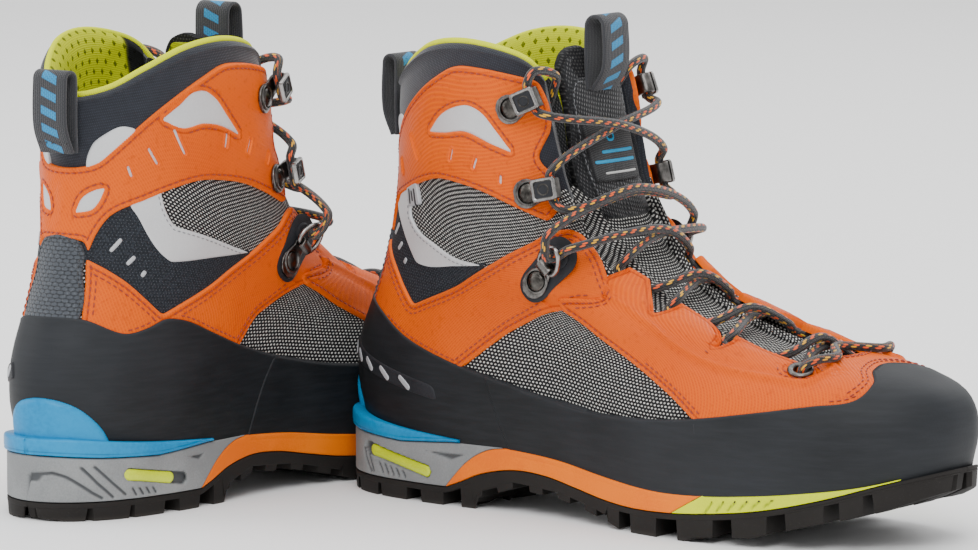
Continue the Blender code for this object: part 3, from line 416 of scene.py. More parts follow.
class Panel:
    """A flexible panel on the last: outline, holes, thickness profile and relief.

    low and high are heights above the upper's face; the top rounds down at the edge over
    `round` millimetres, has a shallow sewn groove at `groove`, and swells by `puff`."""

    def __init__(self, outline, low, high, holes=(), round_edge=1.1, groove=2.3, groove_depth=0.28, puff=0.0,
                 spacing=3.2, relief=None, from_toe=False, softness=2, sharp=CORNER, lip=0.12, slits=(),
                 creases=()):
        self.low, self.high = low, high
        self.round_edge, self.groove, self.groove_depth = round_edge, groove, groove_depth
        self.puff, self.lip = puff, lip
        self.relief, self.from_toe, self.creases = relief, from_toe, creases
        rim = soften(spline_loop(outline, sharp=sharp), softness)
        self.rim = rim if area(rim) > 0 else rim[::-1]
        self.holes = []
        for hole in holes:
            cut = soften(spline_loop(hole, sharp=sharp, step=0.9), 1)
            self.holes.append(cut if area(cut) < 0 else cut[::-1])
        self.loops = [self.rim] + self.holes
        self.tree = tree_of(np.concatenate([dense(loop) for loop in self.loops]))
        self.slits = []
        for slit in slits:
            cut = soften(spline_loop(slit, sharp=sharp, step=0.7), 1)
            self.slits.append(cut if area(cut) < 0 else cut[::-1])
        self.slit_tree = tree_of(np.concatenate([dense(s) for s in self.slits])) if self.slits else None
        self.build(spacing)

    def inner(self, flat):
        ok = within(flat, self.rim)
        for hole in self.holes + self.slits:
            ok &= ~within(flat, hole)
        return ok

    def build(self, spacing):
        extra = []
        for distance in RINGS:
            ring = np.concatenate([shifted(loop, distance) for loop in self.loops])
            far = distances(last(ring[:, 0], ring[:, 1]), self.tree)
            clear = (far > distance * 0.93 - 0.05) & (self.slit_far(ring) > 1.3)
            extra.append(ring[self.inner(ring) & clear])
        for slit in self.slits:
            for distance in (0.35, 0.8, 1.3, 2.0):
                ring = shifted(slit, distance)
                extra.append(ring[self.inner(ring) & (self.slit_far(ring) > distance * 0.9)])
        for line in self.creases:
            fine = spline_loop(line, closed=False, sharp=math.radians(80), step=1.4)
            for distance in (-3.6, -2.4, -1.6, -0.9, -0.3, 0.3, 0.9, 1.6, 2.4, 3.6):
                row = shifted(fine, distance, False)
                far = distances(last(row[:, 0], row[:, 1]), self.tree)
                extra.append(row[self.inner(row) & (far > 4.4)])
        (w0, v0), (w1, v1) = self.rim.min(0), self.rim.max(0)
        rows = []
        for v in np.arange(v0, v1, spacing / 175):
            w = w0
            line = []
            while w < w1:
                line.append(w)
                w += spacing / 430 if abs((w + 1) % 2 - 1) < 0.85 else spacing / 260
            rows.append(np.stack([np.array(line), np.full(len(line), v)], -1))
        grid = np.concatenate(rows)
        grid = grid[self.inner(grid)]
        grid = grid[distances(last(grid[:, 0], grid[:, 1]), self.tree) > RINGS[-1] + spacing * 0.4]
        grid = grid[self.slit_far(grid) > 3.0]
        if self.creases:
            lines = [spline_loop(line, closed=False, sharp=math.radians(80)) for line in self.creases]
            near = tree_of(np.concatenate([last(line[:, 0], line[:, 1]) for line in lines]))
            grid = grid[distances(last(grid[:, 0], grid[:, 1]), near) > 4.4]
        extra = np.concatenate(extra + [grid])
        scale = np.array([400.0, 175.0])
        points, edges, first = [], [], 0
        for loop in self.loops + self.slits:
            points.append(loop)
            edges += [(first + k, first + (k + 1) % len(loop)) for k in range(len(loop))]
            first += len(loop)
        flat = np.concatenate(points + [extra]) * scale
        verts, _, faces, _, _, _ = geometry.delaunay_2d_cdt([Vector(p) for p in flat], edges, [], 0, 1e-5)
        flat = np.array([tuple(p) for p in verts]) / scale
        faces = np.array([f for f in faces if len(f) == 3])
        centre = flat[faces].mean(1)
        faces = faces[self.inner(centre)]
        used = np.unique(faces)
        remap = np.full(len(flat), -1)
        remap[used] = np.arange(len(used))
        self.flat, self.faces = flat[used], remap[faces]
        self.far = distances(last(self.flat[:, 0], self.flat[:, 1]), self.tree)

    def slit_far(self, flat):
        if self.slit_tree is None:
            return np.full(len(flat), 99.0)
        return distances(last(flat[:, 0], flat[:, 1]), self.slit_tree)

    def height(self, flat, far):
        """Height of the panel's top at a place whose distance from the edge is far."""
        if self.round_edge:
            s = np.clip(far / self.round_edge, 0, 1)
            drop = (1 - np.sqrt(np.clip(1 - (1 - s) ** 2, 0, 1))) * min(self.high - self.low, self.round_edge)
        else:
            drop = 0 * far
        top = self.high - drop + self.lip * np.exp(-((far - 1.2) / 0.5) ** 2)
        if self.groove:
            top = top - self.groove_depth * np.exp(-((far - self.groove) / 0.55) ** 2)
        s = np.clip((far - 2.5) / 12, 0, 1)
        top = top + self.puff * s * s * (3 - 2 * s)
        if self.relief:
            top = top + self.relief(flat, far)
        if self.slits:
            near = self.slit_far(flat)
            s = np.clip(near / 0.45, 0, 1)
            top = top - 0.45 * (1 - np.sqrt(np.clip(1 - (1 - s) ** 2, 0, 1)))
            top = top + 0.28 * np.exp(-((near - 0.7) / 0.4) ** 2) - 0.22 * np.exp(-((near - 1.6) / 0.4) ** 2)
        return top

    def shape(self):
        w, v = self.flat.T
        top = over(w, v, self.height(self.flat, self.far))
        bottom = over(w, v, np.full(len(w), self.low))
        if self.faces.size:
            a, b, c = (last(*self.flat[self.faces[0, k]]) for k in range(3))
            if np.dot(np.cross(b - a, c - a), outward(*self.flat[self.faces[0, 0]])) < 0:
                self.faces = self.faces[:, ::-1]
        n = len(w)
        edge_count = {}
        for f in self.faces.tolist():
            for p, q in zip(f, f[1:] + f[:1]):
                edge_count[(p, q)] = True
        walls = [(q, p, p + n, q + n) for p, q in edge_count if (q, p) not in edge_count]
        faces = self.faces.tolist() + (self.faces[:, ::-1] + n).tolist() + walls
        uv = unroll(w, v, self.from_toe)
        edge = np.clip(1 - np.minimum(self.far, self.slit_far(self.flat) * 1.6) / 1.5, 0, 1)
        return (np.vstack([top, bottom]), faces, np.vstack([uv, uv]),
                {"edge": np.concatenate([edge, edge]), "inset": np.concatenate([self.far, self.far])})

    def top_at(self, flat):
        return self.height(flat, distances(last(flat[:, 0], flat[:, 1]), self.tree))


def resampled(loop, step, closed=True):
    """Points a fixed number of millimetres apart along a loop, with their directions."""
    ring = np.vstack([loop, loop[:1]]) if closed else loop
    p = last(ring[:, 0], ring[:, 1])
    reach = np.concatenate([[0], np.cumsum(np.linalg.norm(np.diff(p, axis=0), axis=1))])
    count = max(2, int(reach[-1] / step))
    at = (np.arange(count) + 0.5) * reach[-1] / count
    return np.stack([np.interp(at, reach, ring[:, k]) for k in (0, 1)], -1)


STITCH = [(-1.15, 0.0, 0.0), (-0.85, 0.24, 0.12), (-0.3, 0.30, 0.26), (0.3, 0.30, 0.26), (0.85, 0.24, 0.12),
          (1.15, 0.0, 0.0)]


def stitches(rows, keep=None, step=3.1, lift=0.0, fat=1.0, length=1.0):
    """Rows of thread along (panel, distance from its edge): short rounded stitches."""
    parts = []
    for panel, distance in rows:
        for loop in panel.loops:
            line = shifted(loop, distance)
            at = resampled(line, step)
            far = distances(last(at[:, 0], at[:, 1]), panel.tree)
            ok = (far > distance * 0.9) & panel.inner(at)
            if keep:
                ok &= keep(at)
            at = at[ok]
            if len(at) == 0:
                continue
            parts.append(thread_marks(at, line, panel.top_at(at) + lift, fat, length))
    return merge(parts)


def thread_marks(at, line, heights, fat=1.0, length=1.0):
    """Stitch shapes at places on the last, each lying along the nearest stretch of line."""
    lines = last(line[:, 0], line[:, 1])
    tree = tree_of(lines)
    centre, normal = over(at[:, 0], at[:, 1], heights), outward(at[:, 0], at[:, 1])
    base = last(at[:, 0], at[:, 1])
    near = np.array([tree.find(p)[1] for p in base])
    direction = lines[(near + 2) % len(lines)] - lines[near - 2]
    direction -= normal * (direction * normal).sum(-1, keepdims=True)
    direction /= np.maximum(np.linalg.norm(direction, axis=-1, keepdims=True), 1e-9)
    side = np.cross(normal, direction)
    return capsules(centre, direction, side, normal, fat, length)


def capsules(centre, direction, side, normal, fat=1.0, length=1.0):
    """Short rounded bars, one at each centre, lying along its direction."""
    count, points, faces = 6, [], []
    for along, radius, rise in STITCH:
        if radius == 0:
            points.append(centre + direction * along * length)
            continue
        for k in range(count):
            a = 2 * math.pi * k / count
            points.append(centre + direction * along * length + (side * math.cos(a)
                          + normal * math.sin(a)) * radius * fat + normal * rise * fat)
    per = len(points)
    stack = np.stack(points, 1)
    for k in range(count):
        n = (k + 1) % count
        faces.append((0, 1 + n, 1 + k))
        for r in range(len(STITCH) - 3):
            a, b = 1 + r * count, 1 + (r + 1) * count
            faces.append((a + k, a + n, b + n, b + k))
        faces.append((per - 1, per - 1 - count + k, per - 1 - count + n))
    all_faces = []
    for i in range(len(stack)):
        all_faces += [tuple(j + i * per for j in f) for f in faces]
    flat = stack.reshape(-1, 3)
    return flat, all_faces, np.zeros((len(flat), 2)), {}




# ======================================================================================
# Tubes, sweeps and small hardware
# ======================================================================================
def unit(v):
    """Vectors brought to length one."""
    v = np.asarray(v, float)
    return v / np.maximum(np.linalg.norm(v, axis=-1, keepdims=True), 1e-12)


def tube(path, radius, sides=12, closed=False, stretch=(1.0, 1.0)):
    """A round cord along fine points; its weave coordinates are length and girth in mm."""
    path = np.asarray(path, float)
    n = len(path)
    ahead = np.roll(path, -1, 0) - np.roll(path, 1, 0) if closed else np.gradient(path, axis=0)
    ahead = unit(ahead)
    side = np.zeros((n, 3))
    start = np.cross(ahead[0], (0, 0, 1.0))
    side[0] = unit(start if np.linalg.norm(start) > 0.1 else np.cross(ahead[0], (0, 1.0, 0)))
    for i in range(1, n):
        s = side[i - 1] - ahead[i] * np.dot(side[i - 1], ahead[i])
        side[i] = unit(s)
    if closed:
        end = side[-1] - ahead[0] * np.dot(side[-1], ahead[0])
        twist = math.atan2(np.dot(np.cross(side[0], unit(end)), ahead[0]), np.dot(side[0], unit(end)))
        for i in range(n):
            a = -twist * i / n
            side[i] = side[i] * math.cos(a) + np.cross(ahead[i], side[i]) * math.sin(a)
    up = np.cross(ahead, side)
    radii = np.broadcast_to(np.asarray(radius, float), (n,))
    reach = np.concatenate([[0], np.cumsum(np.linalg.norm(np.diff(path, axis=0), axis=1))])
    points, uv, faces = [], [], []
    for k in range(sides):
        a = 2 * math.pi * k / sides
        points.append(path + (side * math.cos(a) * stretch[0] + up * math.sin(a) * stretch[1]) * radii[:,
                                                                                                       None])
        uv.append(np.stack([reach, np.full(n, k / sides)], -1))
    pts, uvs = np.stack(points, 1).reshape(-1, 3), np.stack(uv, 1).reshape(-1, 2)
    rows = n if closed else n - 1
    for i in range(rows):
        j = (i + 1) % n
        for k in range(sides):
            m = (k + 1) % sides
            faces.append((i * sides + k, i * sides + m, j * sides + m, j * sides + k))
    if not closed:
        faces += [tuple(range(sides))[::-1], tuple((n - 1) * sides + k for k in range(sides))]
    return pts, faces, uvs, {"girth": np.tile(np.arange(sides) / sides, n)}


def turned(frame, profile, sides=36, hollow=False):
    """A turned solid: profile is (radius, height) from the bottom up, in a surface frame."""
    origin, along, up, across = (np.asarray(v, float) for v in frame)
    a = 2 * math.pi * np.arange(sides) / sides
    arm = along * np.cos(a)[:, None] + across * np.sin(a)[:, None]
    points = np.concatenate([origin + arm * r + up * h for r, h in profile])
    rings = len(profile)
    faces = []
    for r in range(rings if hollow else rings - 1):
        q = (r + 1) % rings
        for k in range(sides):
            n = (k + 1) % sides
            faces.append((r * sides + k, q * sides + k, q * sides + n, r * sides + n))
    if not hollow:
        faces += [tuple(range(sides)), tuple((rings - 1) * sides + k for k in range(sides))[::-1]]
    return points, faces, np.zeros((len(points), 2)), {}


def strap(frame, path, widths, thickness, bevel=0.35):
    """A strap swept along a path of (along, up) points; widths go with the points."""
    origin, along, up, across = (np.asarray(v, float) for v in frame)
    path = np.asarray(path, float)
    widths = np.broadcast_to(np.asarray(widths, float), (len(path),))
    ahead = unit(np.gradient(path, axis=0))
    n = np.stack([-ahead[:, 1], ahead[:, 0]], -1)
    half = thickness / 2
    b = min(bevel, half * 0.95)
    points, uv = [], []
    reach = np.concatenate([[0], np.cumsum(np.linalg.norm(np.diff(path, axis=0), axis=1))])
    for i in range(len(path)):
        w = widths[i] / 2
        ring = [(-w, -half + b), (-w, half - b), (-w + b * 0.3, half - b * 0.3), (-w + b, half)]
        ring += [(x, half) for x in np.linspace(-w + b, w - b, 6)[1:-1]]
        ring += [(w - b, half), (w - b * 0.3, half - b * 0.3), (w, half - b), (w, -half + b),
                 (w - b * 0.3, -half + b * 0.3), (w - b, -half)]
        ring += [(x, -half) for x in np.linspace(w - b, -w + b, 6)[1:-1]]
        ring += [(-w + b, -half), (-w + b * 0.3, -half + b * 0.3)]
        for y, z in ring:
            q = path[i] + n[i] * z
            points.append(origin + along * q[0] + up * q[1] + across * y)
            uv.append((reach[i], y))
    size = len(ring)
    faces = []
    for i in range(len(path) - 1):
        for k in range(size):
            m = (k + 1) % size
            faces.append((i * size + k, i * size + m, (i + 1) * size + m, (i + 1) * size + k))
    end = (len(path) - 1) * size
    faces += [tuple(range(size))[::-1], tuple(end + k for k in range(size))]
    return np.array(points), faces, np.array(uv), {}


def block(corners, low, high, taper=0.6, bevel=0.6):
    """A moulded block: a flat outline (x, y), wide at `high` and a little smaller at `low`."""
    pts = np.asarray(corners, float)
    centre = pts.mean(0)
    low, high = np.broadcast_to(low, len(pts)).astype(float), np.broadcast_to(high, len(pts)).astype(float)
    size = np.abs(pts - centre).max()

    def ring(shrink, z):
        return np.column_stack([centre + (pts - centre) * (1 - shrink / max(size, 1e-6)), z])

    rings = [ring(0, high), ring(taper, low + bevel), ring(taper + bevel * 0.3, low + bevel * 0.3),
             ring(taper + bevel, low)]
    n = len(pts)
    faces = [tuple(range(n)), tuple(3 * n + k for k in range(n))[::-1]]
    for r in range(3):
        for k in range(n):
            m = (k + 1) % n
            faces.append((r * n + k, (r + 1) * n + k, (r + 1) * n + m, r * n + m))
    points = np.vstack(rings)
    if area(pts) < 0:
        faces = [f[::-1] for f in faces]
    return points, faces, points[:, :2].copy(), {}


def surface_frame(side, place, toward, lift):
    """Origin on the panel and axes: along the piece, out of the boot, across."""
    w, v = side * place[0], place[1]
    normal = outward(w, v)
    aim = last(side * toward[0], toward[1]) - last(w, v)
    along = unit(aim - normal * np.dot(aim, normal))
    return over(w, v, lift), along, normal, np.cross(normal, along)


def arc(centre, radius, start, stop, count):
    """Points on a circle's arc; angles are in degrees."""
    return [(centre[0] + radius * math.cos(math.radians(start + (stop - start) * k / count)),
             centre[1] + radius * math.sin(math.radians(start + (stop - start) * k / count)))
            for k in range(count + 1)]


def smooth_path(path, step=0.8):
    """Fine points along a smooth curve through 2-D or 3-D points."""
    pts = np.asarray(path, float)
    reach = np.concatenate([[0], np.cumsum(np.linalg.norm(np.diff(pts, axis=0), axis=1) ** 0.7)])
    length = np.linalg.norm(np.diff(pts, axis=0), axis=1).sum()
    fine = smooth(np.linspace(0, reach[-1], 1500), reach, pts)
    run = np.concatenate([[0], np.cumsum(np.linalg.norm(np.diff(fine, axis=0), axis=1))])
    at = np.linspace(0, run[-1], max(4, int(length / step)))
    return np.stack([np.interp(at, run, fine[:, k]) for k in range(pts.shape[1])], -1)


# ======================================================================================
# Materials
# ======================================================================================
class Look:
    """A node material. Each method adds nodes and returns the socket that carries the value."""

    def __init__(self, name, roughness=0.5, metallic=0.0, sheen=0.0, coat=0.0, specular=0.5):
        self.material = bpy.data.materials.new(name)
        self.material.use_nodes = True
        self.tree = self.material.node_tree
        self.shader = self.tree.nodes["Principled BSDF"]
        for key, value in (("Roughness", roughness), ("Metallic", metallic), ("Sheen Weight", sheen),
                           ("Coat Weight", coat), ("Specular IOR Level", specular)):
            self.shader.inputs[key].default_value = value

    def put(self, socket, value):
        if isinstance(value, bpy.types.NodeSocket):
            self.tree.links.new(value, socket)
        else:
            socket.default_value = value

    def math(self, operation, a, b=0.0, c=0.0):
        node = self.tree.nodes.new("ShaderNodeMath")
        node.operation = operation
        for socket, value in zip(node.inputs, (a, b, c)):
            self.put(socket, value)
        return node.outputs[0]

    def add(self, a, b):
        return self.math("ADD", a, b)

    def mul(self, a, b):
        return self.math("MULTIPLY", a, b)

    def ramp(self, value, low, high):
        """0 at low, 1 at high, smooth between."""
        node = self.tree.nodes.new("ShaderNodeMapRange")
        node.interpolation_type = "SMOOTHSTEP"
        for socket, item in zip(node.inputs, (value, low, high, 0.0, 1.0)):
            self.put(socket, item)
        return node.outputs[0]

    def mix(self, factor, a, b):
        node = self.tree.nodes.new("ShaderNodeMix")
        node.data_type = "RGBA"
        colour = [s for s in node.inputs if s.type == "RGBA"]
        self.put(node.inputs[0], factor)
        for socket, value in zip(colour, (a, b)):
            self.put(socket, (*value, 1) if isinstance(value, tuple) else value)
        return next(s for s in node.outputs if s.type == "RGBA")

    def attribute(self, name):
        node = self.tree.nodes.new("ShaderNodeAttribute")
        node.attribute_name = name
        return node.outputs["Fac"]

    def weave(self):
        """The weave coordinates, in millimetres: (along, up)."""
        node = self.tree.nodes.new("ShaderNodeUVMap")
        node.uv_map = "weave"
        split = self.tree.nodes.new("ShaderNodeSeparateXYZ")
        self.tree.links.new(node.outputs[0], split.inputs[0])
        return split.outputs[0], split.outputs[1]

    def place(self):
        node = self.tree.nodes.new("ShaderNodeTexCoord")
        return node.outputs["Object"]

    def noise(self, scale, detail=3.0, vector=None, stretch=None, roughness=0.55):
        node = self.tree.nodes.new("ShaderNodeTexNoise")
        node.inputs["Scale"].default_value = scale
        node.inputs["Detail"].default_value = detail
        node.inputs["Roughness"].default_value = roughness
        vector = vector or self.place()
        if stretch:
            mapping = self.tree.nodes.new("ShaderNodeMapping")
            mapping.inputs["Scale"].default_value = stretch
            self.tree.links.new(vector, mapping.inputs["Vector"])
            vector = mapping.outputs[0]
        self.tree.links.new(vector, node.inputs["Vector"])
        return node.outputs["Fac"]

    def wave(self, value, pitch, phase=0.0):
        """0 to 1 and back once in every pitch."""
        turn = self.add(self.mul(value, 2 * math.pi / pitch), phase)
        return self.add(self.mul(self.math("SINE", turn), 0.5), 0.5)

    def cells(self, x, y, pitch_x, pitch_y, stagger=0.5):
        """Place inside a staggered cell, from -0.5 to 0.5 each way, and the row number."""
        b = self.mul(y, 1 / pitch_y)
        row = self.math("FLOOR", b)
        a = self.add(self.mul(x, 1 / pitch_x), self.mul(self.math("FLOORED_MODULO", row, 2.0), stagger))
        return self.add(self.math("FRACT", a), -0.5), self.add(self.math("FRACT", b), -0.5), row

    def oval(self, fx, fy, wide, high, soft=0.3):
        """1 inside an oval of the cell, 0 outside it."""
        a, b = self.mul(fx, 1 / wide), self.mul(fy, 1 / high)
        d = self.math("SQRT", self.add(self.mul(a, a), self.mul(b, b)))
        return self.ramp(d, 1 + soft, 1 - soft)

    def bump(self, height, distance, strength=1.0, over_normal=None):
        node = self.tree.nodes.new("ShaderNodeBump")
        node.inputs["Strength"].default_value = strength
        node.inputs["Distance"].default_value = distance * MM
        self.put(node.inputs["Height"], height)
        if over_normal:
            self.put(node.inputs["Normal"], over_normal)
        return node.outputs[0]

    def finish(self, colour, normal=None, roughness=None):
        self.put(self.shader.inputs["Base Color"], (*colour, 1) if isinstance(colour, tuple) else colour)
        if normal:
            self.put(self.shader.inputs["Normal"], normal)
        if roughness is not None:
            self.put(self.shader.inputs["Roughness"], roughness)
        return self.material


def srgb(r, g, b):
    """Linear colour from the 0 to 255 values that a paint chart gives."""
    return tuple((c / 255 / 12.92) if c <= 10 else ((c / 255 + 0.055) / 1.055) ** 2.4 for c in (r, g, b))


def orange_microfibre():
    """Fine diagonal embossing; painted highlight on raised cells and cut edges, painted shade in the sewn
    groove.
    """
    k = Look("orange_microfibre", 0.46, specular=0.12)
    x, y = k.weave()
    wobble = k.mul(k.noise(60, 2), 1.6)
    a = k.wave(k.add(k.add(k.mul(x, 0.82), k.mul(y, 0.57)), wobble), 1.25)
    b = k.wave(k.add(k.mul(x, 0.57), k.mul(y, -0.82)), 1.7)
    grain = k.math("MAXIMUM", a, k.mul(b, 0.6))
    large, fine = k.noise(14, 3), k.noise(420, 2)
    base = k.mix(k.ramp(large, 0.3, 0.7), srgb(194, 67, 0), srgb(212, 82, 0))
    # Painted highlight: the raised cells of the embossing are paler.
    cells = k.mix(k.mul(grain, 0.5), base, srgb(234, 106, 0))
    speck = k.mix(k.mul(k.ramp(fine, 0.55, 0.75), 0.25), cells, srgb(150, 34, 0))
    edge = k.ramp(k.attribute("edge"), 0.35, 0.85)
    # Painted highlight along the cut edges, in patches.
    wear_and_highlight = k.mix(k.mul(edge, k.add(0.35, k.mul(k.noise(160, 2), 0.5))), speck, srgb(244, 108, 10))
    groove = k.math("ABSOLUTE", k.add(k.attribute("inset"), -2.3))
    shade = k.mix(k.mul(k.ramp(groove, 0.7, 0.1), 0.45), wear_and_highlight, srgb(130, 22, 0))
    height = k.add(k.mul(grain, 0.8), k.mul(fine, 0.4))
    return k.finish(shade, k.bump(height, 0.16), k.add(0.36, k.mul(large, 0.16)))


def dotted_mesh(name, pitch_x, pitch_y, dot, ground, dots):
    """Black open weave with a light knot in every staggered cell; the mark "dim" darkens the knots."""
    k = Look(name, 0.75, specular=0.2)
    x, y = k.weave()
    wobble = k.add(k.noise(90, 2), -0.5)
    fx, fy, _ = k.cells(k.add(x, k.mul(wobble, 1.0)), k.add(y, k.mul(wobble, 0.7)), pitch_x, pitch_y)
    mask = k.oval(fx, fy, dot[0], dot[1])
    tone = k.noise(700, 1)
    light = k.mix(k.ramp(tone, 0.3, 0.7), dots, tuple(c * 0.62 for c in dots))
    light = k.mix(k.mul(k.attribute("dim"), 0.93), light, tuple(c * 1.5 for c in ground))
    dark = k.mix(k.ramp(k.noise(1200, 1), 0.4, 0.7), ground, tuple(c * 2.4 for c in ground))
    colour = k.mix(mask, dark, light)
    thread = k.wave(x, pitch_x / 2)
    height = k.add(k.mul(mask, 1.0), k.mul(thread, 0.25))
    return k.finish(colour, k.bump(height, 0.28))


def softshell(name, low, high, pitch=0.9, depth=0.12, roughness=0.85):
    """Plain fine-woven stretch cloth."""
    k = Look(name, roughness, sheen=0.25, specular=0.25)
    x, y = k.weave()
    a = k.wave(k.add(x, k.mul(y, 0.35)), pitch)
    b = k.wave(k.add(y, k.mul(x, -0.2)), pitch * 1.15)
    weave = k.mul(a, b)
    colour = k.mix(k.add(k.mul(weave, 0.55), k.mul(k.noise(240, 2), 0.4)), low, high)
    return k.finish(colour, k.bump(k.add(weave, k.mul(k.noise(900, 1), 0.6)), depth))


def scaled_patch():
    """Heel textile with rows of overlapping dark scales."""
    k = Look("heel_textile", 0.7, sheen=0.15, specular=0.3)
    x, y = k.weave()
    fx, fy, _ = k.cells(x, y, 3.0, 1.7)
    scale = k.oval(fx, k.add(fy, 0.12), 0.46, 0.5, 0.35)
    colour = k.mix(k.mul(scale, 0.8), srgb(26, 29, 34), srgb(70, 75, 82))
    speck = k.mix(k.mul(k.ramp(k.noise(800, 1), 0.5, 0.8), 0.4), colour, srgb(100, 104, 110))
    return k.finish(speck, k.bump(scale, 0.35))


def reflective(name, low, high):
    """Silver-grey reflective film with a fine even grain."""
    k = Look(name, 0.42, 0.15, specular=0.6)
    grain = k.noise(1500, 2)
    patchy = k.noise(50, 3)
    colour = k.mix(k.add(k.mul(grain, 0.5), k.mul(patchy, 0.5)), low, high)
    return k.finish(colour, k.bump(grain, 0.04), k.add(0.36, k.mul(patchy, 0.2)))


def rand_rubber():
    """Slate rubber with a faint horizontal brushing and pale scuffs."""
    k = Look("rand_rubber", 0.6, specular=0.22)
    spot = k.place()
    brushed = k.noise(55, 5, spot, (1, 1, 9), 0.65)
    cloud = k.noise(11, 3, spot)
    fine = k.noise(900, 2, spot)
    base = k.mix(k.ramp(brushed, 0.35, 0.7), srgb(20, 22, 24), srgb(29, 31, 34))
    cloudy = k.mix(k.mul(k.ramp(cloud, 0.35, 0.75), 0.4), base, srgb(50, 53, 58))
    dust = k.mix(k.mul(k.ramp(k.noise(38, 6, spot, (1, 1, 14), 0.7), 0.66, 0.84), 0.16), cloudy,
                 srgb(92, 94, 98))
    edge = k.mix(k.mul(k.attribute("edge"), 0.2), dust, srgb(70, 73, 78))
    height = k.add(k.mul(brushed, 0.7), k.mul(fine, 0.35))
    return k.finish(edge, k.bump(height, 0.10), k.add(0.42, k.mul(cloud, 0.25)))


def sole_rubber():
    """Brown-black outsole rubber, matt, paler at the lugs' tips from wear."""
    k = Look("outsole_rubber", 0.72, specular=0.2)
    spot = k.place()
    split = k.tree.nodes.new("ShaderNodeSeparateXYZ")
    k.tree.links.new(spot, split.inputs[0])
    cloud, fine = k.noise(40, 4, spot), k.noise(1300, 2, spot)
    base = k.mix(cloud, srgb(24, 22, 21), srgb(40, 37, 35))
    foot = k.ramp(k.add(split.outputs[2], k.mul(cloud, 0.002)), 0.0035, 0.0)
    wear_and_highlight = k.mix(k.mul(foot, 0.45), base, srgb(70, 66, 62))
    speck = k.mix(k.mul(k.ramp(fine, 0.6, 0.75), 0.3), wear_and_highlight, srgb(60, 57, 54))
    return k.finish(speck, k.bump(k.add(k.mul(fine, 0.6), cloud), 0.09))


def moulded(name, low, high, roughness=0.5, grain=1400, depth=0.05, groove_shade=None, specular=0.16):
    """Moulded foam or plastic with a fine texture, slight colour drift, and painted shade in the cuts of the
    sole's walls.
    """
    k = Look(name, roughness, specular=specular)
    spot = k.place()
    cloud, fine = k.noise(26, 3, spot), k.noise(grain, 2, spot)
    colour = k.mix(k.ramp(k.add(k.mul(cloud, 0.7), k.mul(fine, 0.3)), 0.35, 0.65), low, high)
    # Painted shade: the cuts and grooves that the mark "dark" covers are darkened.
    colour = k.mix(k.mul(k.ramp(k.attribute("dark"), 0.05, 0.9), 0.85), colour,
                   groove_shade or tuple(c * 0.3 for c in low))
    rub = k.mix(k.mul(k.ramp(k.noise(70, 6, spot, (1, 1, 6), 0.7), 0.64, 0.84), 0.10), colour,
                srgb(225, 225, 220))
    return k.finish(rub, k.bump(fine, depth), k.add(roughness - 0.08, k.mul(cloud, 0.2)))


def spacer_mesh():
    """Lime lining: fine knit with rows of small lozenge holes; the mark "front" turns it to dark cloth."""
    k = Look("lining_mesh", 0.8, specular=0.15)
    x, y = k.weave()
    fx, fy, _ = k.cells(x, y, 6.4, 4.6)
    lozenge = k.add(k.mul(k.math("ABSOLUTE", fx), 6.4 / 1.15), k.mul(k.math("ABSOLUTE", fy), 4.6 / 1.5))
    hole = k.ramp(lozenge, 1.15, 0.65)
    knit = k.mul(k.wave(x, 0.8), k.wave(y, 1.0))
    base = k.mix(k.ramp(k.noise(30, 3), 0.3, 0.7), srgb(206, 214, 0), srgb(224, 230, 4))
    shade = k.mix(k.mul(knit, 0.5), srgb(176, 184, 0), base)
    colour = k.mix(k.mul(hole, 0.85), shade, srgb(70, 84, 4))
    front = k.mix(knit, srgb(14, 15, 17), srgb(34, 35, 38))
    colour = k.mix(k.attribute("front"), colour, front)
    height = k.add(k.mul(hole, -1.4), k.mul(knit, 0.4))
    return k.finish(colour, k.bump(height, 0.5))


def lime_binding():
    """Lime knitted edge tape with fine cross ribs."""
    k = Look("lime_binding", 0.7, specular=0.15)
    x, y = k.weave()
    rib = k.wave(x, 0.9)
    colour = k.mix(k.add(k.mul(rib, 0.4), k.mul(k.noise(200, 2), 0.4)), srgb(200, 210, 0), srgb(222, 230, 6))
    return k.finish(colour, k.bump(rib, 0.12))


def lace_braid():
    """Round braid: black, with grey strands and rows of orange and yellow flecks."""
    k = Look("lace_braid", 0.62, sheen=0.25, specular=0.4)
    x, y = k.weave()
    girth = k.attribute("girth")
    strands, dash = 15, 2.6
    lane = k.mul(girth, strands)
    number = k.math("FLOOR", lane)
    across = k.add(k.math("FRACT", lane), -0.5)
    turn = k.add(k.mul(x, 1 / dash), k.mul(number, 0.5))
    beat = k.math("FLOOR", turn)
    along = k.add(k.math("FRACT", turn), -0.5)
    strand = k.oval(across, along, 0.50, 0.56, 0.25)
    lively = k.math("LESS_THAN", k.math("FLOORED_MODULO", k.add(number, 0.5), 5.0), 2.0)
    first = k.math("LESS_THAN", k.math("FLOORED_MODULO", k.add(beat, 0.5), 2.0), 1.0)
    yellow = k.math("LESS_THAN", k.math("FLOORED_MODULO", k.add(k.add(beat, number), 0.5), 5.0), 1.6)
    silver = k.math("LESS_THAN", k.math("FLOORED_MODULO", k.add(number, 2.5), 5.0), 1.0)
    base = k.mix(k.noise(900, 1), srgb(13, 13, 15), srgb(30, 30, 33))
    grey = k.mix(k.mul(silver, 0.3), base, srgb(104, 104, 104))
    fleck = k.mix(yellow, srgb(228, 84, 0), srgb(224, 166, 6))
    colour = k.mix(k.mul(k.mul(lively, first), strand), grey, fleck)
    shaded = k.mix(k.ramp(strand, 0.7, 0.0), colour, srgb(10, 10, 11))
    return k.finish(shaded, k.bump(strand, 0.35))


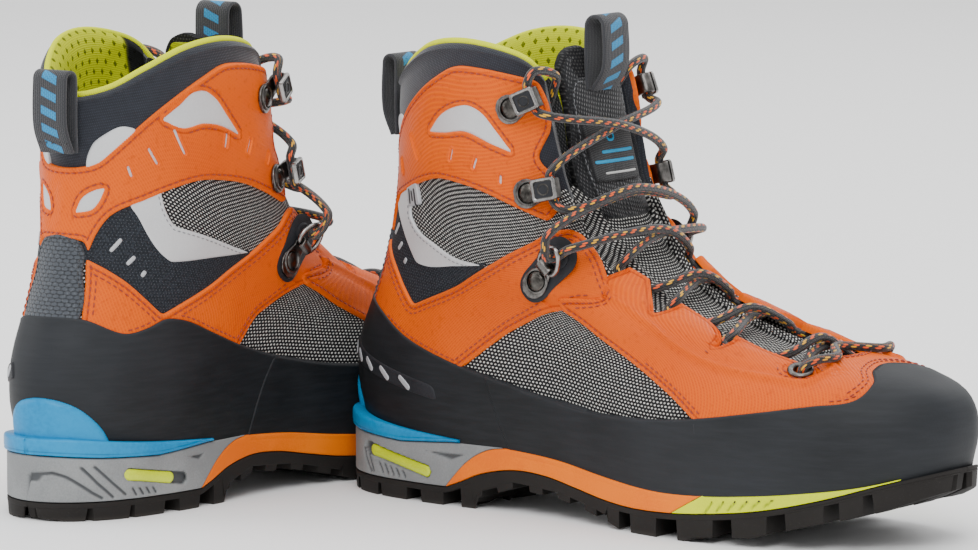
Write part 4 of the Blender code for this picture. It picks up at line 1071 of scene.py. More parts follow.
def webbing():
    """Black ribbed webbing with a column of plain blue bars on its outer face."""
    k = Look("webbing_marked", 0.8, sheen=0.2, specular=0.3)
    x, y = k.weave()
    fx, fy, _ = k.cells(x, y, 1.5, 1.05)
    knot = k.oval(fx, fy, 0.5, 0.48, 0.3)
    base = k.mix(knot, srgb(16, 16, 18), srgb(50, 51, 55))
    bar = k.math("FRACT", k.mul(k.add(x, k.mul(y, 0.35)), 1 / 7.4))
    on = k.mul(k.ramp(bar, 0.16, 0.24), k.ramp(bar, 0.70, 0.62))
    band = k.ramp(k.math("ABSOLUTE", y), 4.3, 3.7)
    outside = k.math("GREATER_THAN", k.attribute("outer"), 0.5)
    ink = k.mul(k.mul(on, band), outside)
    base = k.mix(ink, base, k.mix(knot, srgb(0, 92, 134), srgb(8, 134, 186)))
    return k.finish(base, k.bump(knot, 0.22))


def gunmetal(name="gunmetal", low=(74, 72, 70), high=(124, 121, 118), roughness=0.3):
    """Plated steel, satin, with faint scratches and darker tarnish."""
    k = Look(name, roughness, 1.0)
    spot = k.place()
    tarnish, scratch = k.noise(190, 4, spot), k.noise(500, 3, spot, (1, 9, 1))
    colour = k.mix(k.ramp(k.add(k.mul(tarnish, 0.6), k.mul(scratch, 0.4)), 0.35, 0.65), srgb(*low),
                   srgb(*high))
    return k.finish(colour, k.bump(scratch, 0.015), k.add(roughness - 0.07, k.mul(tarnish, 0.22)))


def thread(name, low, high):
    """Twisted sewing thread."""
    k = Look(name, 0.6, sheen=0.2)
    twist = k.noise(2200, 1)
    return k.finish(k.mix(twist, low, high), k.bump(twist, 0.05))


ORANGE = orange_microfibre()
MESH = dotted_mesh("dotted_mesh", 2.0, 1.5, (0.28, 0.27), srgb(20, 20, 22), srgb(214, 213, 208))
FINE_MESH = dotted_mesh("fine_mesh", 1.6, 1.3, (0.17, 0.2), srgb(26, 29, 34), srgb(74, 78, 83))
COLLAR_CLOTH = softshell("collar_softshell", srgb(22, 24, 30), srgb(50, 54, 64), 1.0)
TONGUE_CLOTH = softshell("tongue_cloth", srgb(14, 15, 17), srgb(46, 47, 51), 1.7, 0.45)
HEEL_CLOTH = scaled_patch()
SILVER = reflective("reflective_silver", srgb(176, 178, 180), srgb(214, 215, 216))
SILVER_DULL = reflective("reflective_dull", srgb(150, 152, 156), srgb(188, 190, 193))
RAND = rand_rubber()
SOLE = sole_rubber()
GREY = moulded("wedge_grey", srgb(122, 124, 125), srgb(142, 144, 144), 0.55, groove_shade=srgb(58, 60, 63))
BLUE = moulded("welt_blue", srgb(0, 118, 172), srgb(6, 138, 192), 0.34, 500, 0.03, groove_shade=srgb(0, 78, 118))
SUN = moulded("midsole_orange", srgb(228, 104, 0), srgb(240, 120, 0), 0.5, groove_shade=srgb(190, 64, 0))
LIME = moulded("insert_lime", srgb(202, 214, 0), srgb(216, 228, 0), 0.5, groove_shade=srgb(118, 140, 0))
LIME_GEL = moulded("window_lime", srgb(194, 210, 0), srgb(208, 224, 0), 0.28, 900, 0.02,
                   groove_shade=srgb(120, 140, 0), specular=0.6)
RECESS = moulded("recess_dark", srgb(48, 50, 54), srgb(60, 62, 66), 0.6)
LINING = spacer_mesh()
LIME_EDGE = lime_binding()
LACE = lace_braid()
WEBBING_MARKED = webbing()
METAL = gunmetal()
BRIGHT_METAL = gunmetal("polished_rim", (122, 120, 118), (166, 164, 162), 0.24)
DARK_METAL = gunmetal("rivet_dome", (48, 46, 44), (92, 89, 85), 0.26)
HOOK_RUBBER = moulded("hook_rubber", srgb(30, 31, 34), srgb(44, 45, 49), 0.5)
LABEL_CLOTH = softshell("label_cloth", srgb(16, 16, 18), srgb(40, 41, 44), 0.7, 0.15)
FELT = softshell("insole_felt", srgb(52, 54, 60), srgb(80, 82, 90), 0.8, 0.2)
BOARD = moulded("insole_board", srgb(120, 104, 76), srgb(140, 124, 92), 0.85)
THREAD_RED = thread("thread_dark_red", srgb(112, 26, 4), srgb(158, 44, 8))
THREAD_BLACK = thread("thread_black", srgb(12, 12, 14), srgb(34, 34, 38))
THREAD_GREY = thread("thread_grey", srgb(90, 92, 96), srgb(130, 132, 136))
PRINT_BLUE = moulded("print_blue", srgb(24, 130, 172), srgb(40, 152, 196), 0.6)
PRINT_PALE = moulded("print_pale", srgb(178, 178, 176), srgb(206, 206, 204), 0.6)


# ======================================================================================
# The upper
# ======================================================================================
FACE = 0.8                            # the base textile's face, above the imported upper's
TUCK = 0.022                          # how far a panel runs on under its neighbour, in v
RAND_TOP = [(0.0, 0.345), (0.10, 0.335), (0.17, 0.31), (0.25, 0.25), (0.33, 0.198), (0.386, 0.169),
            (0.433, 0.148), (0.483, 0.14), (0.536, 0.15), (0.628, 0.179), (0.70, 0.205),
            (0.762, 0.226), (0.815, 0.24), (0.865, 0.302), (0.93, 0.37), (1.0, 0.389)]
RAND_TOP_MEDIAL = [(0.0, 0.345), (0.10, 0.342), (0.196, 0.30), (0.227, 0.318), (0.255, 0.344),
                   (0.28, 0.34), (0.33, 0.295), (0.375, 0.25), (0.426, 0.208), (0.48, 0.18),
                   (0.55, 0.170)] + RAND_TOP[9:]
MESH_SIDE = [(0.43, 0.369), (0.467, 0.417), (0.503, 0.451)]
MESH_FRONT = [(0.535, 0.44), (0.538, 0.384), (0.553, 0.325), (0.574, 0.275), (0.60, 0.22)]
QUARTER_TOP = [(0.78, 0.70), (0.775, 0.725), (0.75, 0.733), (0.70, 0.722), (0.618, 0.68), (0.54, 0.632),
               (0.465, 0.573), (0.35, 0.462), (0.29, 0.40), (0.25, 0.357), (0.222, 0.41), (0.187, 0.464),
               (0.149, 0.50), (0.10, 0.535)]
LOBES = [(0.83, 0.397), (0.826, 0.448), (0.837, 0.49), (0.73, 0.437), (0.854, 0.535), (0.864, 0.578),
         (0.745, 0.534), (0.862, 0.634), (0.837, 0.660), (0.73, 0.617)]
CUFF_TOP = [(0.06, 0.834), (0.125, 0.85), (0.185, 0.90), (0.25, 0.95), (0.34, 1.005), (0.46, 1.06),
            (0.53, 1.08), (0.60, 1.07), (0.68, 1.05), (0.79, 1.022)]
CUFF_FRONT = [(0.812, 0.964), (0.80, 0.932), (0.769, 0.909), (0.743, 0.886), (0.749, 0.87),
              (0.772, 0.854), (0.783, 0.826), (0.753, 0.777), (0.70, 0.742)]
CUFF_BOTTOM = [(0.615, 0.77), (0.55, 0.79), (0.471, 0.80), (0.423, 0.80), (0.343, 0.774),
               (0.262, 0.732), (0.15, 0.66), (0.115, 0.60), (0.10, 0.55)]
RIM = [(0.0, 1.05), (0.1, 1.055), (0.2, 1.07), (0.3, 1.105), (0.42, 1.14), (0.54, 1.14), (0.68, 1.105),
       (0.77, 1.065), (0.82, 1.02)]
GROMMET = (0.794, 0.362)
GROMMET_HOLE = 3.9
CUFF_WINDOWS = {-1: [(0.409, 0.928), (0.457, 0.962), (0.516, 0.98), (0.557, 0.982), (0.595, 0.968),
                     (0.631, 0.935), (0.668, 0.893), (0.61, 0.91), (0.538, 0.932), (0.468, 0.928)],
                1: [(0.334, 0.972), (0.385, 1.000), (0.427, 1.025), (0.457, 1.024), (0.486, 1.004),
                    (0.52, 0.96), (0.554, 0.915), (0.506, 0.938), (0.447, 0.951), (0.388, 0.947)]}
BACK_WINDOW = [(0.056, 0.676), (0.077, 0.722), (0.13, 0.756), (0.151, 0.761), (0.128, 0.712), (0.112, 0.692)]
CUFF_SLITS = {-1: [((0.319, 0.911), (0.342, 0.848)), ((0.233, 0.823), (0.236, 0.783)),
                   ((0.487, 0.888), (0.476, 0.862)),
                   ((0.561, 0.872), (0.548, 0.849)), ((0.623, 0.836), (0.617, 0.82))],
              1: [((0.363, 0.942), (0.381, 0.882)), ((0.287, 0.899), (0.304, 0.854)),
                  ((0.225, 0.84), (0.231, 0.81)),
                  ((0.514, 0.921), (0.502, 0.892)), ((0.594, 0.901), (0.574, 0.874)),
                  ((0.671, 0.862), (0.652, 0.843))]}
BOOMERANG = {-1: [(0.165, 0.668), (0.151, 0.661), (0.22, 0.597), (0.251, 0.542), (0.267, 0.50), (0.29, 0.50),
                  (0.373, 0.533), (0.459, 0.571), (0.43, 0.565), (0.386, 0.565), (0.343, 0.591), (0.29, 0.62),
                  (0.262, 0.652), (0.265, 0.706), (0.262, 0.745), (0.19, 0.70)],
             1: [(0.216, 0.71), (0.232, 0.68), (0.249, 0.629), (0.274, 0.563), (0.29, 0.537), (0.32, 0.543),
                 (0.39, 0.563), (0.482, 0.589), (0.387, 0.636), (0.322, 0.656), (0.315, 0.67), (0.305, 0.741),
                 (0.31, 0.79), (0.25, 0.75)]}
VAMP_RIDGE = [(0.542, 0.509), (0.62, 0.548), (0.694, 0.577), (0.700, 0.552), (0.686, 0.493), (0.661, 0.416),
              (0.669, 0.361), (0.694, 0.333), (0.729, 0.318), (0.77, 0.308), (0.807, 0.339), (0.872, 0.387)]


def mirror_w(outline):
    """The same outline on the boot's other side."""
    return [(-w, v) for w, v in reversed(outline)]


def sided(outline, side):
    """An outline for the medial side (1) or the lateral side (-1)."""
    return list(outline) if side > 0 else mirror_w(outline)


def capsule_outline(a, b, width):
    """A narrow slot on the last from a to b, its width in millimetres."""
    ends = np.array([a, b], float)
    scale = flat_scale(ends)
    d = (ends[1] - ends[0]) * scale[0]
    d /= np.linalg.norm(d)
    n = np.array([-d[1], d[0]])
    out = []
    for end, sign in ((0, -1), (1, 1)):
        for angle in (-90, -60, -30, 0, 30, 60, 90):
            r = math.radians(angle)
            offset = (d * math.cos(r) * sign + n * math.sin(r) * sign) * width / 2
            out.append(tuple(ends[end] + offset / scale[end]))
        here, there = np.array(out[-1]), ends[1 - end] + n * sign * width / 2 / scale[1 - end]
        for share in (0.06, 0.2, 0.4, 0.6, 0.8, 0.94):
            out.append(tuple(here + (there - here) * share))
    return out


def disc_outline(w, v, radius, count=24):
    """A round outline of a radius in millimetres."""
    scale = flat_scale(np.array([[w, v]]))[0]
    return [(w + radius * math.cos(a) / scale[0], v + radius * math.sin(a) / scale[1])
            for a in (2 * math.pi * k / count for k in range(count))]


def lowered(points, amount=TUCK):
    """Points moved down, so that the piece above covers this one's edge."""
    return [(w, v - amount) for w, v in points]


def line_tree(outline, sides=(1,)):
    """Search tree of a line on the last, for reliefs that follow it."""
    lines = [spline_loop([(s * w, v) for w, v in outline], closed=False,
                         sharp=math.radians(80)) for s in sides]
    return tree_of(np.concatenate([last(line[:, 0], line[:, 1]) for line in lines]))


def add_shape(name, shape, look, **words):
    """Adds a swept or turned shape as a piece, with its weave coordinates."""
    points, faces, uv, _ = shape
    add(name, points, faces, look, uv=uv, **words)


def add_panel(name, panel, look, **words):
    """Adds a panel as a piece, with its weave coordinates and marks."""
    points, faces, uv, marks = panel.shape()
    add(name, points, faces, look, uv=uv, marks=marks, **words)
    return panel


def add_threads(name, rows, look, keep=None, **words):
    """Adds rows of stitches along panels' edges as one piece."""
    points, faces, uv, marks = stitches(rows, keep, **words)
    add(name, points, faces, look, smooth_angle=180)


def above_rand(at):
    """False where a seam would run under the rand."""
    u = np.abs((at[:, 0] + 1) % 2 - 1)
    lateral = ((at[:, 0] + 1) % 2 - 1) < 0
    tops = [smooth(u, *np.array(t).T) for t in (RAND_TOP_MEDIAL, RAND_TOP)]
    return at[:, 1] > np.where(lateral, tops[1], tops[0]) + 0.008


def base_upper():
    """Woven base: open toe and throat, both hidden under the panels."""
    soft = lambda flat, far: 0.14 * np.sin(flat[:, 0] * 23) * np.sin(flat[:, 1] * 19)
    half = [(0.78, 0.10), (0.80, 0.42), (0.765, 0.45), (0.765, 0.70), (0.80, 0.75), (0.81, 0.82)]
    outline = half + mirror_w(half)
    panel = Panel(outline, -1.5, FACE, groove=0, spacing=5.0, relief=soft, round_edge=0.8)
    add_panel("upper", panel, MESH, stands_for=("upper",), slot="base_fabric")


def ankle_patches():
    """Dark cloth behind the ankle, the silver flash over it, its seam and its tag."""
    for side, where in ((-1, "lateral"), (1, "medial")):
        flash = BOOMERANG[side]
        edge = flash[1:8] if side < 0 else flash[0:8]
        low = [(w + 0.004, v - 0.014) for w, v in QUARTER_TOP if 0.10 <= w <= edge[-1][0]]
        patch = [(0.075, 0.70), (0.15, 0.70)] + [(w + 0.006, v + 0.01) for w,
                                                 v in edge] + low + [(0.075, 0.51)]
        dark = Panel(sided(patch, side), -0.6, FACE + 0.5, groove=0, spacing=4.0, round_edge=0.4)
        add_panel(f"ankle_patch_{where}", dark, FINE_MESH, slot="base_fabric")
        film = Panel(sided(flash, side), -0.4, FACE + 0.95, round_edge=0.5, groove=0, spacing=3.5, lip=0.05)
        add_panel(f"flash_{where}", film, SILVER, slot="base_fabric")
        inner = flash[8:14] if side < 0 else flash[7:13]
        seam = shifted(spline_loop(sided(inner, side), closed=False), 1.6, False)
        at = resampled(seam, 2.6, False)
        inside_film = film.inner(at)
        if inside_film.sum() < len(at) / 2:
            seam = shifted(spline_loop(sided(inner, side), closed=False), -1.6, False)
            at = resampled(seam, 2.6, False)
            inside_film = film.inner(at)
        at = at[inside_film]
        shape = thread_marks(at, seam, film.top_at(at), 0.7, 0.75)
        add(f"flash_seam_{where}", *shape[:2], THREAD_GREY, smooth_angle=180)
        slots = [((0.160, 0.566), (0.185, 0.602)), ((0.196, 0.525), (0.212, 0.547)),
                 ((0.222, 0.487), (0.229, 0.499))]
        parts = []
        for a, b in slots:
            if side < 0:
                a, b = (-a[0], a[1]), (-b[0], b[1])
            bar = Panel(capsule_outline(a, b, 1.7), 0.2, FACE + 0.9, groove=0, spacing=3.0, round_edge=0.35,
                        lip=0)
            parts.append(bar.shape())
        points, faces, uv, marks = merge(parts)
        add(f"ankle_bars_{where}", points, faces, SILVER_DULL, uv=uv, marks=marks)
    tag = Panel(sided([(0.258, 0.675), (0.318, 0.70), (0.312, 0.765), (0.252, 0.74)], -1), -0.2, FACE + 1.5,
                groove=0, spacing=3.0, round_edge=0.5, sharp=math.radians(20), softness=1, lip=0)
    add_panel("ankle_tag", tag, SILVER_DULL, slot="base_fabric")
    bars = []
    for k, (low, high) in enumerate(((0.012, 0.05), (0.02, 0.044), (0.008, 0.05))):
        w, v = -0.272 - 0.014 * k, 0.68 + 0.004 * k
        bar = Panel(capsule_outline((w, v + low), (w + 0.002, v + high), 1.6), FACE, FACE + 1.75, groove=0,
                    spacing=3.0, round_edge=0.2, lip=0)
        bars.append(bar.shape())
    points, faces, uv, marks = merge(bars)
    add("ankle_tag_bars", points, faces, THREAD_BLACK, uv=uv, marks=marks)


def heel_patch():
    """Textile patch up the back of the heel, with its seam."""
    half = [(0.088, 0.31), (0.100, 0.395), (0.088, 0.482), (0.088, 0.560), (0.070, 0.592), (0.03, 0.603)]
    patch = half + mirror_w(half)
    panel = Panel(patch, -0.4, 2.75, groove=0, puff=0.4, spacing=3.2, round_edge=0.9)
    add_panel("heel_patch", panel, HEEL_CLOTH, slot="base_fabric")
    add_threads("heel_patch_seam", [(panel, 1.9)], THREAD_BLACK, above_rand, step=2.6, fat=0.8, length=0.8)


RAND_SEAM = 0.455


def edge_of(table, first, last_one):
    """The stretch of a table of points between two places."""
    return [(w, v) for w, v in table if first < w < last_one]


def rands():
    """Rubber rand in two pieces: one round the heel, and over it one round the toe."""
    def bulge(flat, far):
        return 0.5 * np.exp(-((flat[:, 1] - 0.07) / 0.05) ** 2)

    back = [(-w, v) for w, v in edge_of(RAND_TOP, 0.02, RAND_SEAM)[::-1]]
    top = back + [(0.0, 0.345)] + edge_of(RAND_TOP_MEDIAL, 0.02, RAND_SEAM)
    seam = [(RAND_SEAM + 0.035, 0.145), (RAND_SEAM + 0.05, 0.0)]
    heel = ([(-w, v) for w, v in seam[::-1]] + top + [(RAND_SEAM + 0.035, 0.178), (RAND_SEAM + 0.05, 0.0)]
            + [(0.3, -0.03), (0.0, -0.03), (-0.3, -0.03)])
    rear = Panel(heel, -0.9, 3.0, groove=0, spacing=5.0, round_edge=1.3, relief=bulge)
    add_panel("rand_heel", rear, RAND, stands_for=("rand",), slot="rand_rubber")
    medial = [(w, v) for w, v in RAND_TOP_MEDIAL if w > 0.44]
    lateral = [(2 - w, v) for w, v in RAND_TOP[:-1] if w > 0.385][::-1]
    medial_side = [(0.385, -0.03), (0.402, 0.07), (0.43, 0.203)]
    lateral_side = [(0.365, 0.178), (0.378, 0.08), (0.392, -0.03)]
    toe = medial_side + medial + lateral + [(2 - w, v) for w, v in lateral_side]
    toe += [(1.3, -0.03), (1.0, -0.03), (0.7, -0.03)]
    front = Panel(toe, -0.9, 3.3, groove=0, spacing=4.5, round_edge=1.3, relief=bulge, from_toe=True)
    add_panel("rand_toe", front, RAND, slot="rand_rubber")
    cuts = []
    for s in (1, -1):
        line = [(0.624, 0.166), (0.626, 0.11), (0.636, 0.02)]
        loop = [(w - 0.0008, v) for w, v in line] + [(w + 0.0008, v) for w, v in line[::-1]]
        loop = loop if s > 0 else [(-w, v) for w, v in loop]
        cut = Panel(loop, 2.0, 3.36, groove=0, spacing=4.0, round_edge=0.1, softness=0, lip=0)
        cuts.append(cut.shape())
    shape = merge(cuts)
    add_shape("rand_joint", shape, RECESS)
    plate = [(-0.305, 0.085), (-0.30, 0.125), (-0.075, 0.200), (-0.060, 0.150)]
    badge = Panel(plate, 1.5, 3.55, groove=0, spacing=4.0, round_edge=0.6, sharp=math.radians(20), softness=4)
    add_panel("rand_badge", badge, HOOK_RUBBER, slot="rand_rubber")
    marks_made = []
    for k in range(5):
        w = -0.100 - 0.040 * k
        low = (w, 0.157 - 0.0125 * k)
        high = (w + 0.014, 0.180 - 0.0125 * k)
        bar = Panel(capsule_outline(low, high, 2.6), 3.0, 3.85, groove=0, spacing=4.0, round_edge=0.3, lip=0)
        marks_made.append(bar.shape())
    points, faces, uv, marks = merge(marks_made)
    add("rand_badge_bars", points, faces, SILVER_DULL, uv=uv, marks=marks)


def quarters():
    """Orange side panels, from the heel to the lacing lock, with two rows of stitching."""
    def strap_relief(flat, far):
        u = np.abs((flat[:, 0] + 1) % 2 - 1)
        under = np.clip((0.505 + (u - 0.52) * 0.44 - flat[:, 1]) / 0.012, 0, 1) * (u > 0.515)
        pleats = np.clip((u - 0.66) / 0.04, 0, 1) * np.sin((flat[:, 1] + (u - 0.7) * 0.9) * 210)
        return -1.0 * under + 0.16 * pleats * np.clip((far - 3) / 2, 0, 1)

    shapes = {}
    for side, where, tops, first, end in ((1, "medial", RAND_TOP_MEDIAL, 0.1, 0.376),
                                          (-1, "lateral", RAND_TOP, 0.1, 0.34)):
        base = lowered([(w, v) for w, v in tops if first <= w <= end], TUCK)
        outline = base + [(0.408, 0.335)] + MESH_SIDE + [(0.535, 0.47), (0.56, 0.49), (0.70, 0.560),
                                                         (0.745, 0.62)]
        outline += QUARTER_TOP[:-1] + [(0.095, 0.533)]
        panel = Panel(sided(outline, side), -0.6, 2.45, puff=0.35, spacing=3.0, relief=strap_relief)
        add_panel(f"quarter_{where}", panel, ORANGE, stands_for=(f"quarter_{where}",),
                  slot="orange_microfibre")
        shapes[side] = panel
    rows = [(shapes[1], 2.3), (shapes[-1], 2.3), (shapes[1], 4.3), (shapes[-1], 4.3)]

    def keep(at):
        u = np.abs((at[:, 0] + 1) % 2 - 1)
        covered = (u > 0.50) & (at[:, 1] < 0.50 + (u - 0.52) * 0.44) & (u < 0.76)
        return above_rand(at) & ~covered & (u > 0.105)
    add_threads("quarter_seams", rows, THREAD_RED, keep)


def vamp():
    """Forefoot panel with four lobes a side that hold the lace, and an embossed ridge."""
    half = lowered([(w, v) for w, v in RAND_TOP if w > 0.60], TUCK)[::-1] + MESH_FRONT[::-1]
    half += [(0.53, 0.466), (0.546, 0.498), (0.692, 0.574)] + LOBES[::-1] + [(0.90, 0.425)]
    lateral = [(2 - w, v) for w, v in half[1:]][::-1]
    holes = [disc_outline(GROMMET[0], GROMMET[1], GROMMET_HOLE),
             disc_outline(2 - GROMMET[0], GROMMET[1], GROMMET_HOLE)]
    ridge = line_tree(VAMP_RIDGE, (1, -1))

    def relief(flat, far):
        d = distances(last(flat[:, 0], flat[:, 1]), ridge)
        u = np.abs((flat[:, 0] + 1) % 2 - 1)
        lobe = np.clip((u - 0.70) / 0.06, 0, 1) * np.clip((flat[:, 1] - 0.40) / 0.03, 0, 1)
        swell = np.clip(far / 7, 0, 1) * lobe * 1.1
        return 1.35 * np.exp(-(d / 1.25) ** 2) - 0.45 * np.exp(-((d - 3.3) / 1.3) ** 2) + swell

    creases = [VAMP_RIDGE, [(2 - w, v) for w, v in VAMP_RIDGE]]
    panel = Panel(half + [(1.0, 0.43)] + lateral, -0.5, 2.85, holes, puff=0.3, spacing=2.9, relief=relief,
                  from_toe=True, creases=creases)
    add_panel("vamp", panel, ORANGE, stands_for=("vamp",), slot="orange_microfibre")

    def keep(at):
        u = np.abs((at[:, 0] + 1) % 2 - 1)
        lobed = (u > 0.705) & (at[:, 1] > 0.40) & (u < 0.88)
        eyelet = np.hypot((u - GROMMET[0]) * 300, (at[:, 1] - GROMMET[1]) * 170) < 8
        return above_rand(at) & ~lobed & ~eyelet
    add_threads("vamp_seams", [(panel, 2.3), (panel, 4.3)], THREAD_RED, keep)
    seam = [(w, v) for w, v in RAND_TOP if w > 0.80]
    seam = spline_loop(seam + [(2 - w, v) for w, v in reversed(seam[:-1])], closed=False)
    parts = []
    for gap in (1.9, 3.9):
        row = shifted(seam, gap, False)
        at = resampled(row, 3.0, False)
        parts.append(thread_marks(at, row, panel.top_at(at)))
    points, faces, uv, marks = merge(parts)
    add("toe_seam", points, faces, THREAD_RED, smooth_angle=180)


def cuff():
    """Orange ankle panel: two long windows, a pair behind the heel, and narrow slits."""
    half = CUFF_BOTTOM[::-1] + CUFF_FRONT[::-1] + CUFF_TOP[::-1]
    outline = [(0.09, 0.590)] + half + [(0.0, 0.83)]
    outline += [(-w, v) for w, v in reversed(outline[:-1])]
    holes, slits = [], []
    for side in (1, -1):
        holes.append(sided(CUFF_WINDOWS[side], side))
        holes.append(sided(BACK_WINDOW, side))
        for a, b in CUFF_SLITS[side]:
            slits.append(capsule_outline((side * a[0], a[1]), (side * b[0], b[1]), 1.3))
    dents = line_tree([(0.0, 0.80), (0.045, 0.74), (0.02, 0.665)], (1, -1))

    def relief(flat, far):
        u = np.abs(flat[:, 0])
        swirl = distances(last(flat[:, 0], flat[:, 1]), dents)
        return -0.5 * np.exp(-(swirl / 1.8) ** 2) * (u < 0.09)

    panel = Panel(outline, -0.4, 2.5, holes, puff=0.45, spacing=3.0, relief=relief, slits=slits, softness=5)
    add_panel("cuff", panel, ORANGE, stands_for=("cuff",), slot="orange_microfibre")

    def keep(at):
        near_slit = np.zeros(len(at), bool)
        for side in (1, -1):
            for a, b in CUFF_SLITS[side]:
                middle_w, middle_v = side * (a[0] + b[0]) / 2, (a[1] + b[1]) / 2
                reach = abs(a[1] - b[1]) / 2 + 0.03
                near_slit |= (np.abs(at[:, 0] - middle_w) < 0.022) & (np.abs(at[:, 1] - middle_v) < reach)
        return ~near_slit
    add_threads("cuff_seams", [(panel, 2.3)], THREAD_RED, keep)
    back = []
    for side in (1, -1):
        for window in (CUFF_WINDOWS[side], BACK_WINDOW):
            ring = np.array(sided(window, side))
            middle_point = ring.mean(0)
            wide = middle_point + (ring - middle_point) * 1.18
            film = Panel([tuple(p) for p in wide], 0.0, 1.95, groove=0, spacing=4.0, round_edge=0.3, lip=0)
            back.append(film.shape())
        band = [(w, v) for w, v in ((0.19, 0.76), (0.33, 0.83), (0.47, 0.845), (0.60, 0.81), (0.69, 0.80),
                                    (0.69, 0.88), (0.60, 0.905), (0.50, 0.925), (0.36, 0.955), (0.20, 0.87))]
        strip = Panel(sided(band, side), -0.2, 1.7, groove=0, spacing=5.0, round_edge=0.3, lip=0)
        back.append(strip.shape())
    points, faces, uv, marks = merge(back)
    add("cuff_inserts", points, faces, SILVER, uv=uv, marks=marks)
    return panel


def collar_section(kind, count=14):
    """Cross-section of the padded collar or its lining: (share of height, height above the upper)."""
    if kind == "pad":
        outer = [(s, -0.2 + 1.5 * math.sin(math.pi * min(1, s * 1.05))) for s in np.linspace(0, 0.93, count)]
        crest = [(0.96, 0.75), (0.985, -0.1), (1.0, -1.4), (1.0, -2.9), (0.985, -4.3)]
        inner = [(s, -6.2) for s in np.linspace(0.95, 0.0, 8)]
        return outer + crest + inner
    top = [(1.0, -3.2), (1.008, -4.2), (0.998, -5.6), (0.975, -6.9), (0.94, -7.9)]
    down = [(s, -8.3 + 0.9 * math.sin(3 * math.pi * s)) for s in np.linspace(0.9, 0.0, 16)]
    back = [(s, -6.9) for s in np.linspace(0.0, 0.93, 10)]
    return top + down + back + [(0.97, -5.6), (0.985, -4.4)]


def rim_height(w):
    """Height of the collar's rim round the boot."""
    return smooth(np.abs(w), *np.array(RIM).T)


COLLAR_STEPS = 150
LINING_END = 0.785                   # the lining stops this far round from the heel
LINING_FRONT = 0.69                  # and is bound in dark cloth from here on


def collar_grid(section, low, ends, drift=None):
    """Closed solid: the section swept along the rim from one end of the throat to the other."""
    ws = np.linspace(-ends, ends, COLLAR_STEPS)
    points, uv = [], []
    for w in ws:
        top = float(rim_height(min(abs(w), 0.82)))
        base = low(w) if callable(low) else low
        part = np.array(section)
        v = base + (top - base) * part[:, 0]
        fade = np.clip((ends - abs(w)) / 0.012, 0.0, 1) ** 0.5
        offset = part[:, 1] * (0.35 + 0.65 * fade) - 2.4 * (1 - fade)
        if drift:
            offset = offset + drift(v)
        points.append(over(np.full(len(part), w), v, offset))
        flat = unroll(np.full(len(part), w), v)
        reach = np.concatenate([[0], np.cumsum(np.linalg.norm(np.diff(points[-1], axis=0), axis=1))])
        uv.append(np.column_stack([flat[:, 0], reach]))
    n = len(section)
    pts, faces = np.concatenate(points), []
    for i in range(COLLAR_STEPS - 1):
        for k in range(n):
            m = (k + 1) % n
            faces.append((i * n + k, (i + 1) * n + k, (i + 1) * n + m, i * n + m))
    faces += [tuple(range(n)), tuple((COLLAR_STEPS - 1) * n + k for k in range(n))[::-1]]
    return pts, faces, np.concatenate(uv), {}


def collar():
    """Padded softshell collar, its lime binding, and the spacer-mesh lining."""
    shape = collar_grid(collar_section("pad"), 0.80, 0.82)
    add_shape("collar_pad", shape, COLLAR_CLOTH, stands_for=("collar_pad",), slot="collar_softshell")
    low = lambda w: float(np.interp(abs(w), [0.60, 0.64, 0.76, 0.785], [0.28, 0.71, 0.80, 0.845]))
    rise = lambda v: 4.4 * (1 - np.clip((v - 0.66) / 0.10, 0, 1))
    points, faces, uv, marks = collar_grid(collar_section("lining"), low, LINING_END, drift=rise)
    across = np.repeat(np.abs(np.linspace(-LINING_END, LINING_END, COLLAR_STEPS)),
                       len(points) // COLLAR_STEPS)
    marks = {"front": np.clip((across - LINING_FRONT) / 0.012, 0, 1)}
    add("lining", points, faces, LINING, stands_for=("lining",), uv=uv, slot="lining_mesh", marks=marks)
    ws = np.linspace(-0.82, 0.82, 330)
    crest = over(ws, rim_height(ws) + 0.004, np.full(len(ws), -2.9))
    shape = tube(crest, 1.35, 10, stretch=(1.0, 1.15))
    add_shape("collar_binding", shape, LIME_EDGE, slot="lining_mesh", smooth_angle=180)
    for side, where in ((-1, "lateral"), (1, "medial")):
        shape = [(0.09, 0.80), (0.10, 0.885), (0.125, 0.925), (0.16, 0.945), (0.22, 0.965), (0.26, 0.955),
                 (0.20, 0.88)]
        flash = Panel(sided(shape, side), 0.2, 1.9, groove=0, spacing=3.5, round_edge=0.4)
        add_panel(f"collar_flash_{where}", flash, SILVER, slot="collar_softshell")


